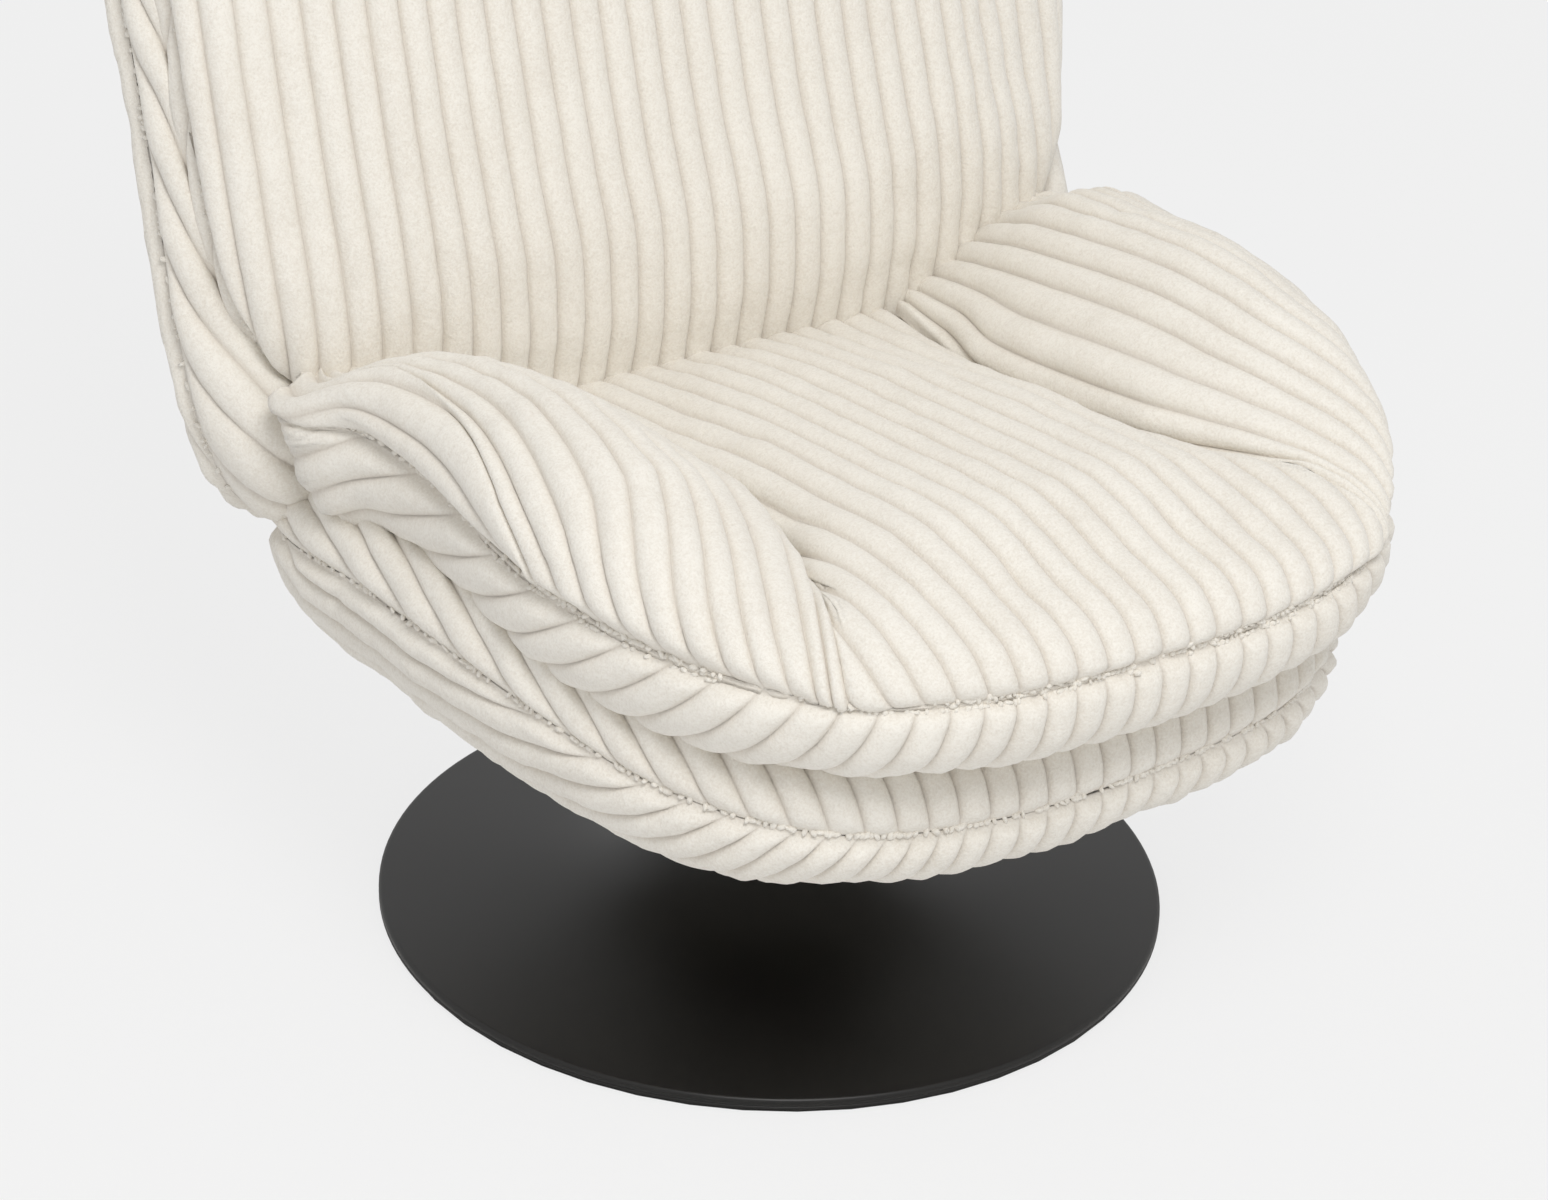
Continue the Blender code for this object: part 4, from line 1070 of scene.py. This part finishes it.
def plushMaterial():
    material, wiring, spot = newMaterial("corduroyPlush")
    pile = wiring.noise(spot, plush["pile"], 3.0, Roughness=plush["fuzz"])
    tuft = wiring.noise(spot, plush["tuft"], 4.0, Roughness=plush["fuzz"])
    cloud = wiring.noise(spot, plush["cloud"], 2.0)
    pileShare, tuftShare, cloudShare = plush["shares"]
    colour = wiring.ramp(pile * pileShare + tuft * tuftShare + cloud * cloudShare, plush["stops"])
    rib = wiring.node("ShaderNodeAttribute", {"attribute_name": "wale"}, out="Fac")
    seam = wiring.node("ShaderNodeAttribute", {"attribute_name": "seam"}, out="Fac")
    # painted shade: the rib valleys and a narrow band along each seam are darkened towards the shade colour,
    # standing in for the shade that falls there
    between = (rib.maths("FRACT") * 2.0 - 1.0).maths("ABSOLUTE") ** plush["valleyShadePower"]
    sewn = (0.0 - (seam / plush["seamWidth"]) ** 2.0).maths("EXPONENT") * plush["seamShadeShare"]
    shaded = between.maths("MAXIMUM", sewn) * plush["paintedShadeShare"] * (0.6 + 0.8 * tuft)
    colour = wiring.mixColour(shaded, colour, plush["paintedShadeColour"])
    wiring.close(plush, colour, tuft, pile * plush["height"] + tuft * plush["height"])
    return material


plushCloth = plushMaterial()
ribs = ribTree(plushCloth)
print("cloth ready")


def armMeasure():  # distance across an arm, between a level line and one that runs straight to the front
    def share(x, y):
        outer = seat["armOuter"] + seat["armSpread"] * (y - seat["armPeak"])
        return (x - creaseX(y)) / (outer - creaseX(y))

    level = np.array(seat["armPeak"])
    across = np.linspace(creaseX(level), seatOutline.edge(level), seat["armSteps"])
    run = distance(across, seatOver(across, np.full_like(across, level)))
    shares = share(across, level)

    def measure(xs, ys):
        over = distance(xs, seatOver(xs, ys))
        here = share(xs, ys)
        plan = np.interp(here, shares, run) + np.maximum(here - shares[-1], 0.0) * seat["armBeyond"]
        return over + (plan - over) * seat["armSlant"]

    return measure


def seatPanels():
    edge, low, high = seatOutline.edge, seatOutline.low(), seatOutline.high()
    reach, turn, end = seat["boxingReach"], seat["boxingTurn"], seat["boxingEnd"]

    def centreRight(y):
        return np.minimum(creaseX(y), edge(y))

    def centreLeft(y):
        return -centreRight(y)

    ys = np.linspace(low, high, seat["edgeSteps"])
    beside = ys[edge(ys) > creaseX(ys)]
    rows = seat["centreRows"]
    centre = Panel(seatOver, centreLeft, centreRight, middleLine, low, high, seatPlace, rows)
    low, high, rows = beside[0], beside[-1], seat["armRows"]
    arm = Panel(seatOver, creaseX, edge, creaseX, low, high, seatPlace, rows, measure=armMeasure())
    boxing = Band(seatOutline, seatBoxing, seatPlace, reach, turn, end, faceUp=False)
    for panel in (centre, arm):
        x, y = panel.points[..., 0], panel.points[..., 1]
        ahead = 1.0 - smoothStep(*seat["softLimits"], y)
        panel.seam += seat["creaseSoft"] * ahead * bell(np.abs(x) - creaseX(y), 0.0, seat["softRun"])
    for panel in (arm, boxing):
        panel.seam += seat["tipSoft"] * armTip(panel.points)
    return centre, arm, boxing


def armTip(points):  # 1 at the rear ends of the arms
    return smoothStep(*seat["tipY"], points[..., 1]) * smoothStep(*seat["tipX"], np.abs(points[..., 0]))


def eased(piece, share, steps):  # evens out part of a mesh
    spots = coordinates(piece.data)
    ends = np.empty(len(piece.data.edges) * 2, np.int32)
    piece.data.edges.foreach_get("vertices", ends)
    first, second = ends.reshape(-1, 2).T
    count = np.maximum(np.bincount(ends, minlength=len(spots)), 1)[:, None]
    for _ in range(steps):
        total = np.zeros_like(spots)
        np.add.at(total, first, spots[second])
        np.add.at(total, second, spots[first])
        spots += 0.5 * share[:, None] * (total / count - spots)
    setCoordinates(piece.data, spots)


def makeSeatCushion():
    centre, arm, boxing = seatPanels()
    work = Patchwork()
    middle = work.add(centre)
    rightArm = work.add(arm)
    leftArm = work.add(arm, mirror=True)
    band = work.add(boxing)
    ends = centre.points[:, -1, 1]
    reaching = np.nonzero(ends > ends.max() - seat["rearReach"])[0]
    first, last = reaching[0], reaching[-1]
    rightCrease = list(middle[last:, -1]) + list(middle[-1, -2::-1])
    work.sew(rightCrease, list(rightArm[0, ::-1]))
    leftCrease = list(middle[first::-1, -1]) + list(middle[0, -2::-1])
    work.sew(leftCrease, list(leftArm[0, ::-1]))
    loop = list(middle[:, 0]) + list(rightArm[:, 0]) + list(rightArm[-1, 1:]) + list(rightArm[-2::-1, -1])
    loop += list(middle[last:first - 1 if first else None:-1, -1])
    loop += list(leftArm[:, -1]) + list(leftArm[-1, -2::-1]) + list(leftArm[-2::-1, 0])
    work.sewBand(loop, band, seat["capSpot"])
    piece = work.build("seatCushion")
    eased(piece, armTip(coordinates(piece.data)), seat["tipSteps"])
    stuffed(piece)
    applyTree(piece, ribs, {**cushionRibs, "Seed": 1.0})
    return piece


def makeBackCushion():
    reach, turn, end = back["boxingReach"], back["boxingTurn"], back["boxingEnd"]
    work = Patchwork()
    front = work.add(Panel(backOver, *backOutline.whole(), leaning, back["rows"]))
    band = work.add(Band(backOutline.flipped(), backBoxing, leaningFlipped, reach, turn, end))
    work.sewBand(loopOf(front)[::-1], band, leaning(*np.array(back["capSpot"])[:, None])[0])
    piece = work.build("backCushion")
    stuffed(piece)
    applyTree(piece, ribs, {**cushionRibs, "Seed": 2.0})
    return piece


def makeCover(name, height, outline, place, rows, seed, window=None):
    work = Patchwork()
    work.add(Panel(height, *outline.whole(), place, rows, faceUp=False))
    piece = work.build(name)
    applyTree(piece, ribs, {**coverRibs, "Seed": seed})
    if window:
        cutWindow(piece, window)
    thicken(piece, shell["skin"])
    return piece


def cutWindow(piece, radius):  # a round opening on the swivel axis
    with editing(piece.data) as made:
        within = {vert for vert in made.verts if math.hypot(vert.co.x, vert.co.y) < radius}
        rim = set()
        for vert in within:
            if any(edge.other_vert(vert) not in within for edge in vert.link_edges):
                rim.add(vert)
        for vert in rim:
            scale = radius / max(math.hypot(vert.co.x, vert.co.y), hair)
            vert.co.x *= scale
            vert.co.y *= scale
        bmesh.ops.delete(made, geom=list(within - rim), context="VERTS")


def lipBand(outline, section, place, lip):
    reach = 2.0 * lipQuarter(lip) * lips["cover"]
    return Band(outline, section, place, reach, lip["turn"], lip["end"])


def makeLip(name, bands, seed):
    work = Patchwork()
    for band in bands:
        index = work.add(band)
        work.sew(list(index[:, 0]), list(index[:, -1]))
        spots = np.concatenate(work.points)
        for end in (index[0], index[-1]):
            work.cap(list(end), spots[end].mean(axis=0))
    piece = work.build(name)
    applyTree(piece, ribs, {**coverRibs, "Seed": seed})
    return piece


seatCushion = makeSeatCushion()
backCushion = makeBackCushion()
seatCover = makeCover(
    "seatCover", seatCoverHeight, shellOutline, upright, shell["rows"], 3.0, shell["window"]
)
backCover = makeCover("backCover", backCoverHeight, backShellOutline, leaning, backShell["rows"], 4.0)
frontBand = lipBand(shellOutline, seatLip, upright, frontEdge)
rearBand = lipBand(shellOutline.flipped(), rearLip, uprightFlipped, rearEdge)
backBand = lipBand(backShellOutline.flipped(), backLip, leaningFlipped, backEdge)
seatBorder = makeLip("seatBorder", (frontBand, rearBand), 5.0)
backBorder = makeLip("backBorder", (backBand,), 6.0)
print("soft pieces sewn")


tufts = {
    "Size": 0.0033,
    "Share": 0.80,  # of the seam's points that carry a tuft
    "Seed": 1,
}
tuftPlaces = {
    "seam": 0.0002,  # points nearer than this are on the seam
    "cell": 0.0028,  # at most one tuft in a cube of this size
    "turn": 3.1,  # radians either way about each axis
    "smallest": (0.5, 0.8, 0.4),  # of the size, along each axis
    "largest": (0.9, 1.6, 0.7),
    "edgeFront": -0.36,
    "edgeSide": 0.27,
    "edgeRear": 0.10,
    "backAbove": 0.45,
    "shellBefore": 0.15,
    "backShellAbove": 0.34,
}


def tuftTree(material):  # small fuzzy lumps of pile caught in a seam
    tree, wiring, given = newTree("seamTufts", tufts)

    def chance(low, high, seed):
        seeds = given("Seed") + seed
        return wiring.node("FunctionNodeRandomValue", {"data_type": "FLOAT_VECTOR"}, low, high, Seed=seeds)

    turn = tuftPlaces["turn"]
    draw = wiring.node("ShaderNodeSeparateXYZ", None, chance((0, 0, 0), (1, 1, 1), 0.0))
    lump = wiring.node("GeometryNodeMeshIcoSphere", None, Radius=given("Size"), Subdivisions=1)
    placed = wiring.node(
        "GeometryNodeInstanceOnPoints",
        None,
        Points=given("Geometry"),
        Selection=draw.maths("LESS_THAN", given("Share")),
        Instance=lump,
        Rotation=chance((-turn, -turn, -turn), (turn, turn, turn), 1.0),
        Scale=chance(tuftPlaces["smallest"], tuftPlaces["largest"], 2.0),
    )
    real = wiring.node("GeometryNodeRealizeInstances", None, placed)
    smooth = wiring.node("GeometryNodeSetShadeSmooth", None, real)
    # a wale at the middle of a rib and a seam far off keep the painted valley and seam shade off the tufts
    for name, value in (("wale", 0.5), ("seam", farFromSeam)):
        smooth = wiring.node("GeometryNodeStoreNamedAttribute", None, smooth, Name=name, Value=value)
    painted = wiring.node("GeometryNodeSetMaterial", None, smooth, Material=material)
    wiring.node("NodeGroupOutput", None, painted)
    return tree


tuftGroup = tuftTree(plushCloth)


def makeTufts(name, source, seed, keep):  # on the source's own seam points, where they are in sight
    spots = coordinates(source.data).astype(np.float32)
    chosen = spots[(seamDistance(source.data) < tuftPlaces["seam"]) & keep(*spots.T)]
    cells = np.round(chosen / tuftPlaces["cell"]).astype(int)
    picked = np.unique(cells, axis=0, return_index=True)[1]
    piece = newObject(name, newMesh(name, chosen[np.sort(picked)].tolist(), []))
    applyTree(piece, tuftGroup, {**tufts, "Seed": seed})
    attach(piece, "seat")
    print(name, len(piece.data.polygons), "faces")


def alongEdge(x, y, z):  # the cushion's outer seam, without its creases
    outer = (y < tuftPlaces["edgeFront"]) | (np.abs(x) > tuftPlaces["edgeSide"])
    return outer & (y < tuftPlaces["edgeRear"])


makeTufts("cushionTufts", seatCushion, 11, alongEdge)
makeTufts("backTufts", backCushion, 12, lambda x, y, z: z > tuftPlaces["backAbove"])
makeTufts("shellTufts", seatBorder, 13, lambda x, y, z: y < tuftPlaces["shellBefore"])
makeTufts("backShellTufts", backBorder, 14, lambda x, y, z: z > tuftPlaces["backShellAbove"])

crumbShare = 0.05  # loose bits under this share of the largest one are dropped after a cut


def clearOf(piece, others=(), nodes=()):  # takes away what a piece shares with others and with CAD nodes
    own = piece.data.attributes.new("own", "INT", "FACE")
    own.data.foreach_set("value", np.ones(len(piece.data.polygons), np.int32))
    copies = [welded(name) for name in nodes]
    for other in (*others, *copies):
        step = piece.modifiers.new("clear", "BOOLEAN")
        step.operation = "DIFFERENCE"
        step.solver = "MANIFOLD"
        step.object = other
    keepResult(piece)
    for copy in copies:
        removePiece(copy)
    with editing(piece.data) as made:
        layer = made.faces.layers.int["own"]
        for edge in made.edges:
            if len({face[layer] for face in edge.link_faces}) > 1:
                edge.smooth = False  # a sharp edge along the cut
        dropLoose(made)
        made.faces.layers.int.remove(layer)


def welded(name):  # a copy of a CAD node with its split edges joined
    node = frame["nodes"][name]
    copy = newObject(name + "Welded", bpy.data.meshes.new(name + "Welded"))
    with editing(node.data, copy.data) as made:
        bmesh.ops.remove_doubles(made, verts=made.verts, dist=hair)
    copy.matrix_world = node.matrix_world
    return copy


def dropLoose(made):  # removes crumbs that a cut leaves
    seen = set()
    groups = []
    for vert in made.verts:
        if vert in seen:
            continue
        seen.add(vert)
        group = [vert]
        for here in group:
            for edge in here.link_edges:
                there = edge.other_vert(here)
                if there not in seen:
                    seen.add(there)
                    group.append(there)
        groups.append(group)
    least = crumbShare * max(map(len, groups))
    crumbs = [vert for group in groups if len(group) < least for vert in group]
    bmesh.ops.delete(made, geom=crumbs, context="VERTS")


clearOf(seatCushion, (backCushion, seatBorder))
clearOf(seatBorder, (backBorder, backCover), ("back_shell",))
clearOf(backCushion, (backBorder,))
clearOf(backCover, (backBorder, seatCover), ("seat_shell",))
clearOf(backBorder, (), ("back_bracket_left", "back_bracket_right", "back_shell"))
print("soft pieces cleared of each other")
for piece, node in (
    (seatCushion, "seat_cushion"),
    (backCushion, "back_cushion"),
    (seatCover, "seat_cover"),
    (backCover, "back_cover"),
    (seatBorder, "seat_border"),
    (backBorder, "back_border"),
):
    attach(piece, "seat")
    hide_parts(node)
    print(piece.name, len(piece.data.polygons), "faces")


base = {
    "radius": 0.290,
    "neck": 0.032,
    "height": 0.180,
    "rimTop": 0.0113,
    "rimRound": 0.003,
    "underside": 0.0033,
    "wall": 0.0019,
    "slope": 0.10,
    "flarePower": 6.0,
    "groove": 0.0018,  # its height over the underside
    "grooveHalf": 0.0006,
    "grooveDepth": 0.0007,
    "wallEnd": 0.001,  # the inner wall stops this far over the underside
    "steps": 144,
    "flareSteps": 64,
    "rimSteps": 7,
    "sharp": math.radians(50),
}


def turned(name, profile, steps):  # a closed outline carried once round the Z axis
    angle = np.linspace(0.0, 2.0 * math.pi, steps, endpoint=False)
    radius, height = profile.T
    sides = [np.outer(np.cos(angle), radius), np.outer(np.sin(angle), radius)]
    points = np.stack(sides + [np.outer(np.ones(steps), height)], axis=-1)
    index = np.arange(steps * len(profile)).reshape(steps, len(profile))
    after = np.roll(index, -1, axis=0)
    quads = np.stack([index, np.roll(index, -1, axis=1), np.roll(after, -1, axis=1), after], axis=-1)
    mesh = newMesh(name, points.reshape(-1, 3).tolist(), quads.reshape(-1, 4).tolist())
    with editing(mesh) as made:
        bmesh.ops.recalc_face_normals(made, faces=made.faces)
    mesh.shade_smooth()
    mesh.set_sharp_from_angle(angle=base["sharp"])
    return newObject(name, mesh)


def makeBase():
    radius, under, rimRound = base["radius"], base["underside"], base["rimRound"]
    share = np.linspace(1.0, 0.0, base["flareSteps"])
    span = radius - rimRound - base["neck"]
    flare = base["height"] - base["rimTop"] - base["slope"] * span
    over = base["rimTop"] + base["slope"] * span * share + flare * share ** base["flarePower"]
    outer = np.stack([base["neck"] + span * (1.0 - share), over], axis=-1)
    turn = np.linspace(0.0, quarterTurn, base["rimSteps"])[1:]
    middle = np.array((radius - rimRound, base["rimTop"] - rimRound))
    rim = middle + rimRound * np.stack([np.sin(turn), np.cos(turn)], axis=-1)
    groove = under + base["groove"]
    edge = np.array(
        [
            (radius, groove + base["grooveHalf"]),
            (radius - base["grooveDepth"], groove),
            (radius, groove - base["grooveHalf"]),
            (radius, under),
        ]
    )
    along = np.gradient(outer, axis=0)
    inward = np.stack([along[:, 1], -along[:, 0]], axis=-1)
    inward = inward / np.linalg.norm(inward, axis=1)[:, None]
    inside = (outer + inward * base["wall"])[::-1]
    inside = inside[inside[:, 1] > under + base["wallEnd"]]
    foot = np.array([(inside[0, 0], under)])
    return turned("baseCover", np.concatenate([outer, rim, edge, foot, inside]), base["steps"])


# Each finish has its colours, the scales of its noises, its least roughness and what a noise adds to it, and
# the strength and depth of its bump.
blackPaint = {
    "stops": ((0.3, (0.0055, 0.0049, 0.0042, 1.0)), (0.7, (0.0085, 0.0076, 0.0066, 1.0))),
    "grain": 1400.0,
    "cloud": 9.0,
    "rough": (0.34, 0.08),
    "bump": (0.06, 0.0004),
    "more": {"Specular_IOR_Level": 0.38},
}
zincPlate = {
    "stops": ((0.2, (0.40, 0.41, 0.42, 1.0)), (0.8, (0.62, 0.62, 0.63, 1.0))),
    "flakes": 260.0,
    "scratch": 700.0,
    "rough": (0.30, 0.2),
    "bump": (0.12, 0.0004),
    "more": {"Metallic": 1.0},
}
bareWood = {
    "stops": ((0.3, (0.40, 0.26, 0.14, 1.0)), (0.65, (0.62, 0.45, 0.27, 1.0))),
    "stretch": (60.0, 5.0, 60.0),  # the grain runs along Y
    "pores": 9.0,
    "rough": (0.5, 0.2),
    "bump": (0.2, 0.0006),
    "more": {},
}
acetal = {
    "stops": ((0.3, (0.80, 0.79, 0.75, 1.0)), (0.7, (0.87, 0.86, 0.82, 1.0))),
    "grain": 320.0,
    "rough": (0.30, 0.15),
    "bump": (0.3, 0.0002),
    "more": {},
}
felt = {
    "stops": ((0.3, (0.012, 0.012, 0.012, 1.0)), (0.7, (0.030, 0.029, 0.028, 1.0))),
    "grain": 900.0,
    "rough": (0.80, 0.15),
    "bump": (0.3, 0.0006),
    "more": {},
}


def blackSteel(look):
    material, wiring, spot = newMaterial("satinBlackSteel")
    grain = wiring.noise(spot, look["grain"], 2.0)
    cloud = wiring.noise(spot, look["cloud"], 3.0)
    wiring.close(look, wiring.ramp(cloud * 0.6 + grain * 0.4, look["stops"]), cloud, grain)
    return material


def zincSteel(look):
    material, wiring, spot = newMaterial("zincSteel")
    flakes = wiring.node("ShaderNodeTexVoronoi", None, Vector=spot, Scale=look["flakes"])
    scratch = wiring.noise(spot, look["scratch"], 3.0)
    wiring.close(look, wiring.ramp(flakes * 0.5 + scratch * 0.5, look["stops"]), scratch, scratch)
    return material


def plywood(look):
    material, wiring, spot = newMaterial("mouldedPlywood")
    stretched = wiring.vector("MULTIPLY", spot, look["stretch"])
    grain = wiring.noise(stretched, 1.0, 5.0, Distortion=0.8)
    pores = wiring.noise(stretched, look["pores"], 2.0)
    wiring.close(look, wiring.ramp(grain * 0.7 + pores * 0.3, look["stops"]), grain, pores)
    return material


def plainTone(name, look):
    material, wiring, spot = newMaterial(name)
    grain = wiring.noise(spot, look["grain"], 3.0)
    cloud = wiring.noise(spot, look["grain"] * 0.05, 2.0)
    wiring.close(look, wiring.ramp(grain * 0.5 + cloud * 0.5, look["stops"]), grain, grain)
    return material


finishes = {
    "satin_black_steel": blackSteel(blackPaint),
    "zinc_steel": zincSteel(zincPlate),
    "moulded_plywood": plywood(bareWood),
    "bush_acetal": plainTone("bushAcetal", acetal),
    "felt_pad": plainTone("feltPad", felt),
}
baseCover = makeBase()
baseCover.data.materials.append(finishes["satin_black_steel"])
clearOf(baseCover, (), ("ballast_plate",))
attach(baseCover, "base")
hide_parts("base_cover")
for row in frame["record"]["subparts"]:
    finish = finishes.get(row["material_slot"])
    if finish is None:
        continue
    for holder in frame["nodes"][row["node"]].material_slots:
        holder.link = "OBJECT"
        holder.material = finish
print("base turned and hard parts painted")


view = {
    "place": (-1.7499, -2.4899, 1.8878),
    "azimuth": math.radians(-35.0),
    "elevation": math.radians(28.336),
    "tilt": math.radians(2.295),
    "lens": 111.63,
    "sensor": 36.0,
}


def placeCamera():
    data = bpy.data.cameras.new("camera")
    data.lens = view["lens"]
    data.sensor_width = view["sensor"]
    data.sensor_fit = "HORIZONTAL"
    azimuth, elevation, tilt = view["azimuth"], view["elevation"], view["tilt"]
    level = math.cos(elevation)
    behind = Vector((math.sin(azimuth) * level, -math.cos(azimuth) * level, math.sin(elevation)))
    right = Vector((math.cos(azimuth), math.sin(azimuth), 0.0))
    above = behind.cross(right)
    turnedRight = right * math.cos(tilt) + above * math.sin(tilt)
    turnedUp = above * math.cos(tilt) - right * math.sin(tilt)
    axes = Matrix((turnedRight, turnedUp, behind)).transposed().to_4x4()
    camera = newObject("camera", data)
    camera.matrix_world = Matrix.Translation(view["place"]) @ axes
    scene.camera = camera


studio = {
    "tone": (0.900, 0.900, 0.900, 1.0),  # of the floor and the world
    "floorHalf": 30,
    "plainShare": 0.86,  # the rest of what the camera sees of the floor takes shadows
    "world": 0.68,
    "key": 54.0,
    "keyPlace": Vector((-0.9, -2.0, 3.1)),
    "keyAim": Vector((0, 0, 0.45)),
    "keySize": 1.2,
}


def makeStage():
    far = studio["floorHalf"]
    corners = [(-far, -far, 0), (far, -far, 0), (far, far, 0), (-far, far, 0)]
    floor = newObject("floor", newMesh("floor", corners, [(0, 1, 2, 3)]))
    material = bpy.data.materials.new("paleFloor")
    wiring = emptied(material)
    matt = wiring.node("ShaderNodeBsdfDiffuse", None, Color=studio["tone"])
    plain = wiring.node("ShaderNodeEmission", None, Color=studio["tone"], Strength=1.0)
    seen = wiring.node("ShaderNodeLightPath", out="Is Camera Ray")
    mixed = wiring.node("ShaderNodeMixShader", None, seen * studio["plainShare"], matt, plain)
    wiring.node("ShaderNodeOutputMaterial", None, mixed)
    floor.data.materials.append(material)
    scene.world = bpy.data.worlds.new("studio")
    wiring = emptied(scene.world)
    seen = wiring.node("ShaderNodeLightPath", out="Is Camera Ray")
    seen = seen.maths("MAXIMUM", seen.output("Is Glossy Ray"))
    strength = studio["world"] + seen * (1.0 - studio["world"])
    sky = wiring.node("ShaderNodeBackground", None, Color=studio["tone"], Strength=strength)
    wiring.node("ShaderNodeOutputWorld", None, sky)


def placeLamp():
    data = bpy.data.lights.new("key", "AREA")
    data.shape = "RECTANGLE"
    data.size = studio["keySize"]
    data.size_y = studio["keySize"]
    data.energy = studio["key"]
    lamp = newObject("key", data)
    lamp.location = studio["keyPlace"]
    lamp.rotation_euler = (studio["keyAim"] - studio["keyPlace"]).to_track_quat("-Z", "Y").to_euler()


placeCamera()
makeStage()
placeLamp()
scene.view_settings.view_transform = "Standard"
print("stage ready")
